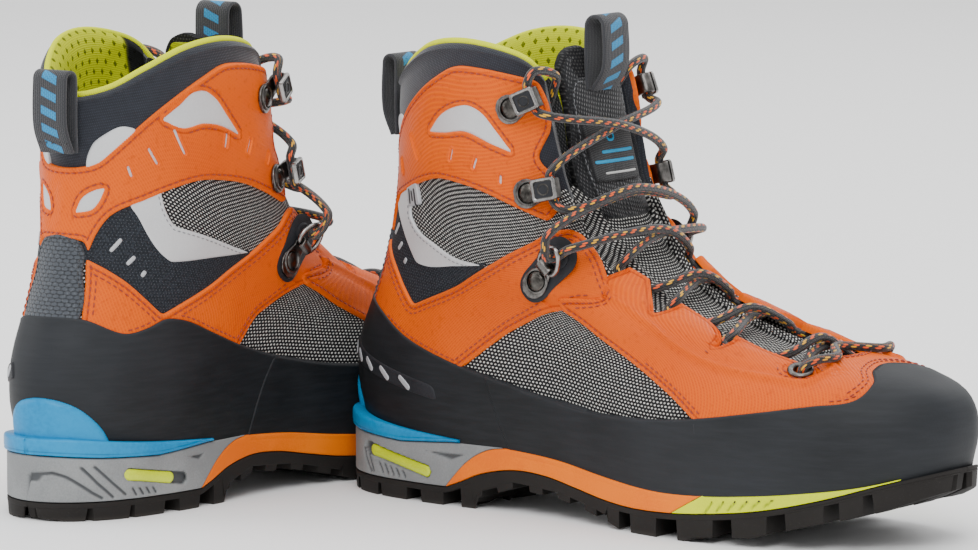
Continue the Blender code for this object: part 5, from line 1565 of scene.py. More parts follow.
def throat_bands():
    """Mesh gussets each side of the tongue, and the black flaps that close its gap to the collar."""
    for side, where in ((-1, "lateral"), (1, "medial")):
        shape = [(0.745, 0.405), (0.80, 0.41), (0.875, 0.425), (0.915, 0.46), (0.935, 0.55), (0.93, 0.65),
                 (0.915, 0.74), (0.90, 0.80), (0.84, 0.835), (0.78, 0.80), (0.745, 0.74)]
        roll_line = lambda flat, far: 1.5 * np.exp(-((np.abs(flat[:, 0]) - 0.898) / 0.013) ** 2)
        gusset = Panel(sided(shape, side), -5.1, -4.25, groove=0, spacing=2.2, round_edge=0.6, puff=0.25,
                       relief=roll_line, from_toe=True)
        add_panel(f"gusset_{where}", gusset, MESH, slot="base_fabric")
        roll = [(0.765, 0.415), (0.768, 0.50), (0.768, 0.60), (0.768, 0.70), (0.79, 0.75), (0.806, 0.80)]
        line = spline_loop([(side * w, v) for w, v in roll], closed=False)
        edge = over(line[:, 0], line[:, 1], np.full(len(line), -1.9))
        points, faces, uv, marks = tube(edge, 2.5, 12)
        add(f"throat_roll_{where}", points, faces, MESH, uv=uv * [1, 15.0], slot="base_fabric",
            smooth_angle=180)
        flap = [(0.76, 0.86), (0.75, 1.0), (0.79, 1.045), (0.86, 1.03), (0.90, 0.99), (0.90, 0.90),
                (0.88, 0.81), (0.80, 0.815)]
        behind = Panel(sided(flap, side), -10.8, -10.0, groove=0, spacing=3.0, round_edge=0.35)
        add_panel(f"tongue_flap_{where}", behind, TONGUE_CLOTH, body="tongue", slot="tongue_softshell")


def tongue():
    """Padded tongue: open mesh below, black cloth with a stitched patch and a plain label above."""
    half = [(0.785, 0.455), (0.705, 0.505), (0.69, 0.60), (0.705, 0.715), (0.855, 0.80), (0.858, 0.86),
            (0.88, 0.905), (0.90, 0.965), (0.89, 1.055), (0.935, 1.088)]
    outline = half + [(1.0, 1.092)] + [(2 - w, v) for w, v in reversed(half)]

    def pillow(flat, far):
        u = np.abs(flat[:, 0] - 1)
        high = np.clip((flat[:, 1] - 0.78) / 0.08, 0, 1)
        middle_band = np.exp(-(u / 0.075) ** 2)
        return high * (0.9 * middle_band + 0.5 * np.clip(far / 6, 0, 1))

    base = Panel(outline, -9.0, -5.35, groove=0, spacing=3.4, round_edge=1.9, relief=pillow, from_toe=True)
    points, faces, uv, marks = base.shape()
    marks["dim"] = np.clip((points[:, 2] - over(1.0, 0.80, -5.0)[2]) / 4.0, 0, 1)
    add("tongue", points, faces, MESH, body="tongue", stands_for=("tongue",), uv=uv, marks=marks,
        slot="tongue_softshell")
    upper_half = [(0.90, 0.775), (0.868, 0.82), (0.87, 0.88), (0.895, 0.93), (0.912, 0.985), (0.903, 1.04),
                  (0.935, 1.075)]
    cloth = Panel(upper_half + [(2 - w, v) for w, v in reversed(upper_half)], -6.6, -4.35, groove=0, puff=0.5,
                  spacing=3.0, round_edge=1.0, from_toe=True)
    add_panel("tongue_cloth", cloth, TONGUE_CLOTH, body="tongue", slot="tongue_softshell")
    patch_half = [(0.925, 0.81), (0.912, 0.86), (0.915, 0.95), (0.925, 1.0), (0.95, 1.022)]
    patch = Panel(patch_half + [(2 - w, v) for w, v in reversed(patch_half)], -5.0, -3.35, groove=1.6,
                  spacing=3.0, round_edge=0.8, from_toe=True)
    add_panel("tongue_patch", patch, TONGUE_CLOTH, body="tongue", slot="tongue_softshell")
    points, faces, uv, marks = stitches([(patch, 1.6)], step=2.5, fat=0.7, length=0.75)
    add("tongue_patch_seam", points, faces, THREAD_GREY, body="tongue", smooth_angle=180)
    box = Panel([(0.935, 0.838), (0.932, 0.945), (1.068, 0.945), (1.065, 0.838)], -3.6, -2.35, groove=0,
                spacing=3.0, round_edge=0.5, from_toe=True, sharp=math.radians(20), softness=2)
    add_panel("tongue_label", box, LABEL_CLOTH, body="tongue", slot="tongue_softshell")
    parts = []
    for w, v, long in ((0.955, 0.875, 0.09), (0.955, 0.893, 0.06)):
        bar = Panel(capsule_outline((w, v), (w + long, v), 1.4), -2.8, -2.0, groove=0, spacing=3.0,
                    round_edge=0.2, from_toe=True, lip=0)
        parts.append(bar.shape())
    ring = disc_outline(1.0, 0.918, 2.2, 18)
    hole = disc_outline(1.0, 0.918, 1.1, 14)
    parts.append(Panel(ring, -2.8, -2.0, [hole], groove=0, spacing=3.0, round_edge=0.2, lip=0).shape())
    points, faces, uv, marks = merge(parts)
    add("tongue_label_marks", points, faces, PRINT_BLUE, body="tongue", uv=uv, marks=marks)
    bar = Panel(capsule_outline((0.957, 0.853), (1.02, 0.853), 0.9), -2.8, -2.05, groove=0, spacing=3.0,
                round_edge=0.2, from_toe=True, lip=0)
    points, faces, uv, marks = bar.shape()
    add("tongue_label_line", points, faces, PRINT_PALE, body="tongue", uv=uv, marks=marks)
    for side, where in ((1, "medial"),):
        edge = [(0.899, 0.90), (0.917, 0.965), (0.909, 1.04), (0.942, 1.072)]
        line = spline_loop([(side * w, v) for w, v in edge], closed=False)
        path = over(line[:, 0], line[:, 1], np.full(len(line), -6.2))
        shape = tube(path, 1.3, 12)
        add_shape(f"tongue_binding_{where}", shape, LIME_EDGE, body="tongue", slot="lining_mesh",
                  smooth_angle=180)
    back_half = [(0.87, 0.82), (0.885, 0.90), (0.905, 0.96), (0.90, 1.04), (0.94, 1.078)]
    back = Panel(back_half + [(2 - w, v) for w, v in reversed(back_half)], -10.2, -8.7, groove=0, spacing=4.0,
                 round_edge=0.4, from_toe=True)
    add_panel("tongue_backing", back, LINING, body="tongue", slot="lining_mesh")


# ======================================================================================
# The sole
# ======================================================================================
GAP = 0.4
PANEL_FACE = 2.5                      # the CAD's outer face of the orange panels
OUTSOLE_TOP = [(-152, 8), (-82, 8), (-64, 14.7), (-47, 18.4), (-19, 15.8), (5, 11.4), (22, 10.2),
               (44, 11), (70, 13), (91, 16), (116, 22), (137, 28.7), (152, 33)]
LUG_TIP = [(-152, 1.2), (-145, 0), (-66, 0), (-64, 5), (-47, 10.5), (-19, 8.5), (3, 4), (18, 0),
           (52, 0), (57, 2), (86, 4.4), (106, 10), (122, 13.5), (130, 15.8), (152, 24)]
ARCH = (-68, 8)
WEDGE_TOP = [(-151.8, 27.5), (-136, 26.2), (-108, 25.0), (-79, 27.2), (-73, 27.3)]
LUGS = [(-152, -139.5), (-138.3, -121.8), (-120.6, -103.5), (-96, -82.5), (-74, -62), (-55, -46), (-38, -30),
        (-22, -14), (-6, 2), (8, 16), (22, 38), (48.5, 67.5), (75.5, 92), (99, 115), (120, 129), (131.5, 152)]


def follow(table, x):
    """Height at x along a table of (x, z) points."""
    xs, zs = zip(*table)
    return np.interp(x, xs, zs)


def sole_line(x):
    """Height of the outsole's upper edge: flat at the heel, one smooth arch, then up to the toe."""
    x = np.asarray(x, float)
    stations = np.array([(-82, 8.0), (-74, 11.0), (-64, 15.0), (-47, 18.2), (-30, 17.6), (-12, 14.6),
                         (5, 11.8), (22, 10.4), (44, 10.8)] + OUTSOLE_TOP[8:], float)
    return np.where(x < -82, 8.0, smooth(np.clip(x, -82, 152), stations[:, 0], stations[:, 1]))


def edge_at(angle, side, margin=0.0, flare=1.0):
    """Point (x, y) of the sole's edge; angle runs from the heel end, 0, to the toe, pi."""
    angle, margin = np.broadcast_arrays(np.asarray(angle, float), np.asarray(margin, float))
    low, high = HEEL_X[0] - 5 * flare - margin, FRONT_X[0] + 3 * flare + margin
    t = (1 - np.cos(angle)) / 2
    x = low + (high - low) * t
    spread = (1.5 + 3.5 * np.clip((-105 - x) / 40, 0, 1) + 1.5 * np.clip((x - 110) / 40, 0, 1)) * flare
    half = width_at(LATERAL if side < 0 else MEDIAL, np.zeros(t.shape), t) + spread + margin
    blunt = 1 + (NOSE[0] - 1) * np.clip(1.4 * t - 0.4, 0, 1)
    y = side * np.maximum(half * np.clip(np.sin(angle), 0, None) ** blunt, 0.8) + toe_swing(x)
    return x, y


def angles_between(low_x, high_x, step, flare=1.0):
    """Angles along the sole's edge whose points are about a step apart, from low_x to high_x."""
    fine = np.linspace(0.02, math.pi - 0.02, 1500)
    x, y = edge_at(fine, -1, 0.0, flare)
    ok = (x >= low_x) & (x <= high_x)
    fine, x, y = fine[ok], x[ok], y[ok]
    run = np.concatenate([[0], np.cumsum(np.hypot(np.diff(x), np.diff(y)))])
    return np.interp(np.linspace(0, run[-1], max(3, int(run[-1] / step))), run, fine)


def layer(name, span, bottom, top, look, margin=0.0, relief=None, step=2.0, rise=2.0, flare=1.0,
          soft=0.6, tilt=0.0, **words):
    """One layer of the sole between two heights that depend on x. relief gives, for a side and
    points (x, z), how deep the wall is cut and how much painted shade the cut gets."""
    angles = angles_between(*span, step, flare)
    parts, uv, dark = [], [], []
    for side in (-1, 1):
        x0, _ = edge_at(angles, side, margin, flare)
        low, high = bottom(x0), top(x0)
        tall = float(np.max(high - low))
        rows = max(6, int(tall / rise))
        share = (1 - np.cos(np.linspace(0, math.pi, rows))) / 2 if rows < 9 else np.unique(
            np.concatenate([[0, 0.2 / tall, 0.5 / tall], np.linspace(1.0 / tall, 1 - 1.0 / tall, rows),
                            [1 - 0.5 / tall, 1 - 0.2 / tall, 1]]))
        z = low[:, None] + (high - low)[:, None] * share
        near = np.minimum(z - low[:, None], high[:, None] - z)
        s = np.clip(near / soft, 0, 1)
        cut = soft * (1 - np.sqrt(np.clip(1 - (1 - s) ** 2, 0, 1)))
        shade = np.zeros(z.shape)
        if relief:
            deep, shade = relief(side, np.broadcast_to(x0[:, None], z.shape), z)
            cut = cut + deep
        if tilt:
            cut = cut + tilt * (z - low[:, None]) / np.maximum(tall, 1)
        x, y = edge_at(np.broadcast_to(angles[:, None], z.shape), side, margin - cut, flare)
        parts.append(np.stack([x, y, z], -1))
        dark.append(shade)
        uv.append(np.stack([x, z], -1))
    points = np.stack(parts)
    _, n, m, _ = points.shape
    index = np.arange(2 * n * m).reshape(2, n, m)
    faces = []
    for i in range(n - 1):
        for k in range(m - 1):
            a, b, c, d = index[0, i, k], index[0, i + 1, k], index[0, i + 1, k + 1], index[0, i, k + 1]
            faces.append((a, b, c, d))
            a, b, c, d = index[1, i, k], index[1, i, k + 1], index[1, i + 1, k + 1], index[1, i + 1, k]
            faces.append((a, b, c, d))
        faces.append((index[0, i, -1], index[0, i + 1, -1], index[1, i + 1, -1], index[1, i, -1]))
        faces.append((index[0, i, 0], index[1, i, 0], index[1, i + 1, 0], index[0, i + 1, 0]))
    for i, flip in ((0, False), (n - 1, True)):
        cap = list(index[0, i, :]) + list(index[1, i, ::-1])
        faces.append(tuple(cap[::-1] if flip else cap))
    add(name, points.reshape(-1, 3), faces, look, uv=np.stack(uv).reshape(-1, 2),
        marks={"dark": np.stack(dark).ravel()}, **words)


def to_segment(x, z, a, b):
    """Distance in the side view to a straight stretch."""
    a, b = np.array(a, float), np.array(b, float)
    d = b - a
    s = np.clip(((x - a[0]) * d[0] + (z - a[1]) * d[1]) / max(d @ d, 1e-9), 0, 1)
    return np.hypot(x - a[0] - s * d[0], z - a[1] - s * d[1])


def to_path(x, z, path):
    """Distance in the side view to a path of straight stretches."""
    return np.min([to_segment(x, z, a, b) for a, b in zip(path, path[1:])], axis=0)


def groove(x, z, path, half, depth):
    """A rounded cut along a path on the sole's wall: its depth there, and how much painted shade it gets."""
    s = np.clip(1 - to_path(x, z, path) / half, 0, 1)
    s = s * s * (3 - 2 * s)
    return depth * s, s


def pill(x, z, quad, grow=0.0):
    """Distance inside (positive) the rounded window on the sole's wall."""
    a = ((quad[0][0] + quad[3][0]) / 2, (quad[0][1] + quad[3][1]) / 2)
    b = ((quad[1][0] + quad[2][0]) / 2, (quad[1][1] + quad[2][1]) / 2)
    return 2.6 + grow - to_segment(x, z, a, b)


PILL = {-1: [(-131, 18.6), (-94, 12.3), (-91.5, 15.0), (-128, 21.4)],
        1: [(-124, 16.9), (-96, 12.6), (-93, 15.4), (-121, 20.0)]}
WEDGE_CUTS = {
    -1: [([(-133, 19.0), (-131, 14.5), (-127.5, 9.8)], 0.8), ([(-129.4, 17.6), (-125.6, 10.2)], 0.75),
         ([(-121.6, 14.4), (-119.0, 10.4)], 0.65), ([(-117.8, 14.0), (-115.6, 10.2)], 0.65),
         ([(-114.2, 13.4), (-112.2, 10.0)], 0.65), ([(-110.6, 12.9), (-108.8, 10.0)], 0.65),
         ([(-106.8, 12.3), (-105.0, 9.8)], 0.65), ([(-72, 18.5), (-62, 21.5)], 0.5)],
    1: [([(-152, 17.5), (-151.5, 20.0), (-149.5, 20.6), (-146.5, 19.0), (-143, 15.9), (-138.5, 12.0),
          (-135, 9.6)], 0.85),
        ([(-142, 22.6), (-136.5, 15.8), (-130.5, 9.7)], 0.8),
        ([(-137.5, 22.8), (-131, 16.0), (-125, 10.4)], 0.8),
        ([(-121.5, 12.6), (-119.8, 9.8)], 0.6), ([(-118, 12.4), (-116.3, 9.8)], 0.6),
        ([(-114.4, 12.2), (-112.8, 9.8)], 0.6), ([(-110.8, 11.9), (-109.4, 9.8)], 0.6)]}
WEDGE_NOTCH = {-1: [(-97, 22.9), (-70, 22.9), (-79, 19.6)], 1: [(-93, 23.0), (-79, 23.3), (-83.5, 20.2)]}


def notch(x, z, corners):
    """Distance inside a three-cornered recess."""
    pts = np.array(corners, float)
    if area(pts) < 0:
        pts = pts[::-1]
    inside = [((b - a)[0] * (z - a[1]) - (b - a)[1] * (x - a[0])) / np.hypot(*(b - a))
              for a, b in zip(pts, np.roll(pts, -1, 0))]
    return np.min(inside, axis=0)


def wedge_relief(side, x, z):
    """Depth and shade of the grooves, the window and the notch in the heel wedge's side."""
    deep, dark = np.zeros(x.shape), np.zeros(x.shape)
    for path, half in WEDGE_CUTS[side]:
        d, s = groove(x, z, path, half + 0.3, 1.0)
        deep, dark = np.maximum(deep, d), np.maximum(dark, s)
    hole = np.clip(pill(x, z, PILL[side], 0.3) / 0.6, 0, 1)
    corner = np.clip(notch(x, z, WEDGE_NOTCH[side]) / 0.9, 0, 1)
    deep = np.maximum(np.maximum(deep, 2.2 * hole), 1.1 * corner)
    return deep, np.maximum(np.maximum(dark, hole * 0.9), corner * 0.8)


def window_plug():
    """Glossy lime plug in each window of the wedge, short of its back-upper end."""
    parts = []
    for side in (-1, 1):
        quad = PILL[side]
        a = np.array([(quad[0][0] + quad[3][0]) / 2, (quad[0][1] + quad[3][1]) / 2])
        b = np.array([(quad[1][0] + quad[2][0]) / 2, (quad[1][1] + quad[2][1]) / 2])
        if side < 0:
            a = a + (b - a) * 0.12
        else:
            b = b + (a - b) * 0.24
        run = unit(b - a)
        up = np.array([-run[1], run[0]])
        count, rings = 44, []
        base = []
        for k in range(count):
            t = 2 * math.pi * k / count
            end = b if math.cos(t) > 0 else a
            base.append((end, run * math.cos(t) + up * math.sin(t)))
        for radius, margin in ((2.5, -3.2), (2.5, -0.9), (2.3, -0.55), (1.8, -0.35), (0.9, -0.25),
                               (0.35, -0.22)):
            ring = []
            for end, arm in base:
                x, z = end + arm * radius
                fine = np.linspace(0.2, 1.6, 400)
                xs, _ = edge_at(fine, side, margin)
                ring.append([*edge_at(np.interp(x, xs, fine), side, margin), z])
            rings.append(ring)
        points = np.array(rings, float).reshape(-1, 3)
        faces = []
        for r in range(len(rings) - 1):
            for k in range(count):
                m = (k + 1) % count
                face = (r * count + k, (r + 1) * count + k, (r + 1) * count + m, r * count + m)
                faces.append(face if side > 0 else face[::-1])
        inner_cap = tuple(range(count))
        outer_cap = tuple((len(rings) - 1) * count + k for k in range(count))
        faces += [inner_cap[::-1], outer_cap] if side < 0 else [inner_cap, outer_cap[::-1]]
        parts.append((points, [f[::-1] for f in faces], points[:, ::2].copy(), {}))
    shape = merge(parts)
    add_shape("heel_window", shape, LIME_GEL, stands_for=("heel_window",), slot="lime_gel")


def outsole_root(x):
    """Height where the lugs meet the sole."""
    arch = (x > ARCH[0]) & (x < ARCH[1])
    return np.where(arch, np.minimum(follow(LUG_TIP, x) + 2.6, sole_line(x) - 2.6), sole_line(x) - 2.6)


def outsole():
    """Rubber plate and three rows of bevelled lugs."""
    def relief(side, x, z):
        s = np.clip(1 - np.abs(z - (sole_line(x) - 1.7)) / 0.5, 0, 1) * (x > 100)
        return 0.35 * s, 0 * s

    layer("outsole", (-153, 156), outsole_root, lambda x: sole_line(x) - GAP / 2, SOLE, 0.0, relief,
          step=1.8, rise=1.1, stands_for=("outsole",), slot="outsole_rubber")
    parts = []
    for a, b in LUGS:
        mid = (a + b) / 2
        for low, high in ((0.0, 0.28), (0.36, 0.64), (0.72, 1.0)):
            slant = 2.6 if mid > 8 else 1.2
            if low == 0.36:
                shape = [(a + 1.2, low + 0.02), (mid, low - 0.01), (b - 1.2, low + 0.02),
                         (b - 1.6, high - 0.02), (mid, high + 0.01), (a + 1.6, high - 0.02)]
            elif low == 0.0:
                shape = [(a + 0.3, low)] + [(a + (b - a) * k / 6, low) for k in range(1, 6)]
                shape += [(b - 0.3, low), (b - slant * 0.4, (low + high) / 2), (b - slant, high),
                          (a + slant * 0.9, high), (a + 0.2, (low + high) / 2)]
            else:
                shape = [(a + slant * 0.9, low), (b - slant, low), (b - slant * 0.4, (low + high) / 2),
                         (b - 0.3, high)]
                shape += [(b + (a - b) * k / 6, high) for k in range(1, 6)] + [(a + 0.3, high)]
                shape += [(a + 0.2, (low + high) / 2)]
            flat = []
            for x, part in shape:
                x = float(np.clip(x, -151.4, 151.4))
                fine = np.linspace(0.02, math.pi - 0.02, 900)
                ends = []
                for side in (-1, 1):
                    xs, ys = edge_at(fine, side, -0.2)
                    ends.append(float(np.interp(x, xs, ys)))
                flat.append((x, ends[0] + (ends[1] - ends[0]) * part))
            tips = [float(follow(LUG_TIP, x)) for x, _ in flat]
            roots = [float(outsole_root(np.array(x))) + 0.4 for x, _ in flat]
            parts.append(block(flat, tips, roots, 0.9, 0.7))
    shape = merge(parts)
    add_shape("outsole_lugs", shape, SOLE, slot="outsole_rubber", smooth_angle=30)


INSERT_BACK = [(46, 11.2), (62, 20.0)]


def wedge_edge(x):
    """The heel wedge's slanted front edge, beside the midsole."""
    table = np.array([(-82, 8.2), (-78, 12.6), (-72.5, 18.2), (-66, 22.9), (-59, 25.9), (-51, 27.2)])
    return smooth(np.clip(x, -82, -51), table[:, 0], table[:, 1])


def sole_layers():
    """Heel wedge, welt and its tab, midsole and forefoot insert, from the heel forward."""
    wedge_low = lambda x: np.where(x < -82, 8.2, wedge_edge(x))
    wedge_high = lambda x: np.maximum(follow(WEDGE_TOP, x), wedge_low(x) + 0.05)
    layer("heel_wedge", (-152, -52), wedge_low, wedge_high, GREY, 0.0, wedge_relief, step=0.75, rise=0.75,
          stands_for=("heel_wedge",), slot="grey_tpu")
    window_plug()

    def lip(side, x, z):
        s = np.clip(1 - np.abs(z - (follow(WEDGE_TOP, x) + 2.0)) / 0.5, 0, 1)
        # A shallow groove along the welt, with painted shade in it.
        return 0.25 * s, 0.6 * s

    layer("heel_welt", (-153, -74), lambda x: follow(WEDGE_TOP, x) + GAP, lambda x: feather(x) - 1.0, BLUE,
          1.4, lip, step=1.4, rise=0.8, soft=1.5, stands_for=("heel_welt",), slot="blue_tpu")
    tab = [(-0.075, -0.02), (-0.068, 0.05), (-0.045, 0.085), (0.0, 0.105), (0.055, 0.105), (0.11, 0.082),
           (0.148, 0.03), (0.165, -0.03), (0.09, -0.05), (0.0, -0.065), (-0.06, -0.05)]
    blob = Panel(tab, 1.5, 5.7, groove=0, spacing=3.0, round_edge=3.2, softness=3, lip=0,
                 sharp=math.radians(75))
    shape = blob.shape()
    add_shape("heel_tab", shape, BLUE, slot="blue_tpu")

    def midsole_low(x):
        return np.where(x < INSERT_BACK[0][0], sole_line(x) + 0.1, follow(INSERT_BACK, x))

    def midsole_high(x):
        top = np.where(x < -50, wedge_edge(x) - 0.1, feather(x) - 1.0)
        return np.maximum(top, midsole_low(x) + 0.05)

    def foam_lines(side, x, z):
        s = np.clip(1 - np.abs(z - (midsole_high(x) - 2.2)) / 0.7, 0, 1) * (x > -48) * (x < 46)
        # A shallow line cut along the foam, with a little painted shade in it.
        return 0.3 * s, 0.25 * s

    layer("midsole", (-81.5, INSERT_BACK[1][0] - 0.3), midsole_low, midsole_high, SUN, 0.0, foam_lines,
          step=1.2, rise=0.9, stands_for=("midsole",), slot="orange_foam")

    def insert_low(x):
        return sole_line(x) + 0.1

    def insert_high(x):
        top = np.where(x < INSERT_BACK[1][0], follow(INSERT_BACK, x) - 0.1, feather(x) - 1.0)
        return np.maximum(top, insert_low(x) + 0.05)

    def insert_cuts(side, x, z):
        deep, dark = np.zeros(x.shape), np.zeros(x.shape)
        for k in range(6):
            at = 63.5 + 5.4 * k
            d, s = groove(x, z, [(at, 13.0 + 0.9 * k), (at + 3.6, 17.6 + 0.5 * k)], 1.0, 0.8)
            # Painted shade in each cut.
            deep, dark = np.maximum(deep, d), np.maximum(dark, s * 0.8)
        return deep, dark

    layer("forefoot_insert", (INSERT_BACK[0][0] + 0.3, 140), insert_low, insert_high, LIME, 0.0, insert_cuts,
          step=0.9, rise=0.9, stands_for=("forefoot_insert",), slot="lime_foam")


def footbed():
    """The felt insole, and the board under it in its own material."""
    layer("insole", (-137, 133), lambda x: feather(x) + 3.7, lambda x: feather(x) + 7.7, FELT, -8.4, None,
          step=4.0, rise=1.5, flare=0.0, soft=1.2, stands_for=("insole",), slot="insole_felt")
    for boot in BOOTS:
        board = frame["nodes"][f"{boot.name}_insole_board"]
        for k in range(len(board.material_slots)):
            board.material_slots[k].material = BOARD


# ======================================================================================
# Loops, hooks, locks, eyelets and lace
# ======================================================================================
HEEL_LOOP = ("heel_loop", (-130.5, 0.0, 153.0), 187.0, 3.2, -2.4)
TONGUE_LOOP = ("tongue_loop", (-27.2, 0.0, 178.0), 209.0, 4.4, 2.5)
HOOKS = {"upper": (0.696, 0.973), "lower": (0.691, 0.803)}
LOCK_RIVET = (0.566, 0.569)
LOCK_RING = (0.672, 0.656)
PLATE = 1.2
HOOK_WIDTH, HOOK_REACH, HOOK_BEND = 8.5, 11.0, 3.0
LOCK_BAR = (8.0, 3.3)
RING_TILT = math.radians(22.0)
LACE_R = 1.9


def loops():
    """Pull loops of folded webbing, with a row of tack stitches at the base."""
    for name, base, top, bulge, lean in (HEEL_LOOP, TONGUE_LOOP):
        height = top - base[2] - bulge
        frame_at = (np.array(base), (1, 0, 0), (0, 0, 1), (0, 1, 0))
        path = [(-1.2, 0.0), (lean - bulge, height * 0.35)] + arc((lean, height), bulge, 180, 0, 8)
        path += [(lean + bulge, height * 0.35), (1.2, 0.0)]
        fine = smooth_path(path, 0.7)
        points, faces, uv, _ = strap(frame_at, fine, 18.0, 1.5, 0.5)
        size = len(points) // len(fine)
        middle_line = np.repeat(fine, size, axis=0)
        flat = np.stack([points[:, 0] - base[0], points[:, 2] - base[2]], -1)
        out = np.linalg.norm(flat - [lean, height * 0.6],
                             axis=1) > np.linalg.norm(middle_line - [lean, height * 0.6], axis=1)
        add(name, points, faces, WEBBING_MARKED, body=name, stands_for=(name,), uv=uv,
            marks={"outer": out.astype(float)}, slot="webbing")
        tack = []
        for k in range(9):
            y = -7.2 + 1.8 * k
            at = np.array(base) + [lean * 0.3 - 2.2 - bulge * 0.35, y, 4.2 + (k % 2) * 1.3]
            tack.append(capsules(at[None], np.array([[0, 0.8, 0.6]]), np.array([[0, 0.6, -0.8]]),
                                 np.array([[-1.0, 0, 0]]), 1.0, 0.9))
        points, faces, uv, marks = merge(tack)
        add(f"{name}_tack", points, faces, THREAD_BLACK, body=name, smooth_angle=180)


def hook_frame(side, place):
    """Place and axes of a hook on the panel."""
    return surface_frame(side, place, (place[0] + 0.06, place[1] + 0.012), PANEL_FACE + GAP)


def rivet_at(name, at, rise):
    """A dark domed rivet in a brighter rim."""
    rim = [(5.5, rise - 0.4), (5.6, rise + 0.2), (5.2, rise + 0.6), (4.6, rise + 0.62), (4.3, rise + 0.1),
           (4.3, rise - 0.4)]
    shape = turned(at, rim, 36, hollow=True)
    add_shape(f"{name}_rim", shape, METAL, slot="gunmetal", smooth_angle=40)
    dome = [(4.2, rise - 0.4), (4.2, rise + 0.3), (3.8, rise + 0.75), (3.0, rise + 1.25), (2.0, rise + 1.6),
            (1.0, rise + 1.8), (0.2, rise + 1.86)]
    shape = turned(at, dome, 36)
    add_shape(f"{name}_rivet", shape, DARK_METAL, slot="gunmetal", smooth_angle=60)


def hooks():
    """Speed hooks: a riveted teardrop plate curled over the lace, capped by a ringed black pad."""
    for where, side in (("lateral", -1), ("medial", 1)):
        for level, place in HOOKS.items():
            at = hook_frame(side, place)
            origin, along, up, across = at
            name = f"hook_{where}_{level}"
            path = [(-6.6, PLATE / 2), (-3.0, PLATE / 2), (3.0, PLATE / 2), (7.5, PLATE / 2)]
            path += arc((HOOK_REACH, PLATE / 2 + HOOK_BEND), HOOK_BEND, -90, 90, 8)
            path += [(8.0, PLATE / 2 + 2 * HOOK_BEND), (3.4, PLATE / 2 + 2 * HOOK_BEND - 0.2)]
            fine = smooth_path(path, 0.5)
            run = np.concatenate([[0], np.cumsum(np.linalg.norm(np.diff(fine, axis=0), axis=1))])
            widths = np.interp(run, [0, 0.8, 2.2, 4.4, 6.6, 9.0, 12, 16, 30, 40],
                               [4.5, 8.0, 10.8, 12.4, 12.4, 10.6, 8.6, HOOK_WIDTH, HOOK_WIDTH, HOOK_WIDTH])
            body = strap(at, fine, widths, PLATE, 0.35)
            rise = PLATE
            rivet_at(name, at, rise)
            shape = merge([body])
            add_shape(name, shape, METAL, stands_for=(name,), slot="gunmetal")
            top = PLATE / 2 + 2 * HOOK_BEND
            centre = origin + along * 8.3 + up * (top - 0.1)
            cap = (centre, along, up, across)
            outer = rounded_square(5.3, 4.9, 1.3)
            shape = stack(outer, cap, [(1.0, 0.2), (1.0, 1.25), (0.95, 1.6), (0.86, 1.65),
                                       (0.76, 1.35), (0.76, 0.2)])
            add_shape(f"{name}_frame", shape, BRIGHT_METAL, slot="gunmetal", smooth_angle=40)
            inner = rounded_square(3.75, 3.35, 0.6)
            shape = stack(inner, cap, [(1.0, 0.3), (1.0, 1.15), (0.93, 1.32), (0.0, 1.34)])
            add_shape(f"{name}_pad", shape, HOOK_RUBBER, slot="gunmetal", smooth_angle=40)
            ring = turned(cap, [(2.5, 1.2), (2.5, 1.5), (2.25, 1.58), (2.0, 1.5), (2.0, 1.2)], 28,
                          hollow=True)
            shape = ring
            add_shape(f"{name}_mark", shape, DARK_METAL, slot="gunmetal", smooth_angle=60)


def rounded_square(half_along, half_across, corner, count=5):
    """Outline points of a square with round corners, in a surface frame."""
    out = []
    for cx, cy, start in ((1, 1, 0), (-1, 1, 90), (-1, -1, 180), (1, -1, 270)):
        for k in range(count + 1):
            a = math.radians(start + 90 * k / count)
            out.append(((half_along - corner) * cx + corner * math.cos(a),
                        (half_across - corner) * cy + corner * math.sin(a)))
    return out


def stack(outline, at, rings):
    """A solid from one flat outline at several sizes and heights; size 0 closes to a point."""
    origin, along, up, across = at
    flat = np.array(outline)
    n, points, faces = len(flat), [], []
    closed = rings[-1][0] == 0.0
    use = rings[:-1] if closed else rings
    for size, height in use:
        q = flat * size
        points.append(origin + np.outer(q[:, 0], along) + np.outer(q[:, 1], across) + up * height)
    for r in range(len(use) - 1):
        for k in range(n):
            m = (k + 1) % n
            faces.append((r * n + k, (r + 1) * n + k, (r + 1) * n + m, r * n + m))
    if closed:
        faces += [tuple(range(n)), tuple((len(use) - 1) * n + k for k in range(n))[::-1]]
    else:
        for k in range(n):
            m = (k + 1) % n
            faces.append(((len(use) - 1) * n + k, k, m, (len(use) - 1) * n + m))
    pts = np.concatenate(points)
    return pts, faces, np.tile(flat, (len(use), 1)), {}


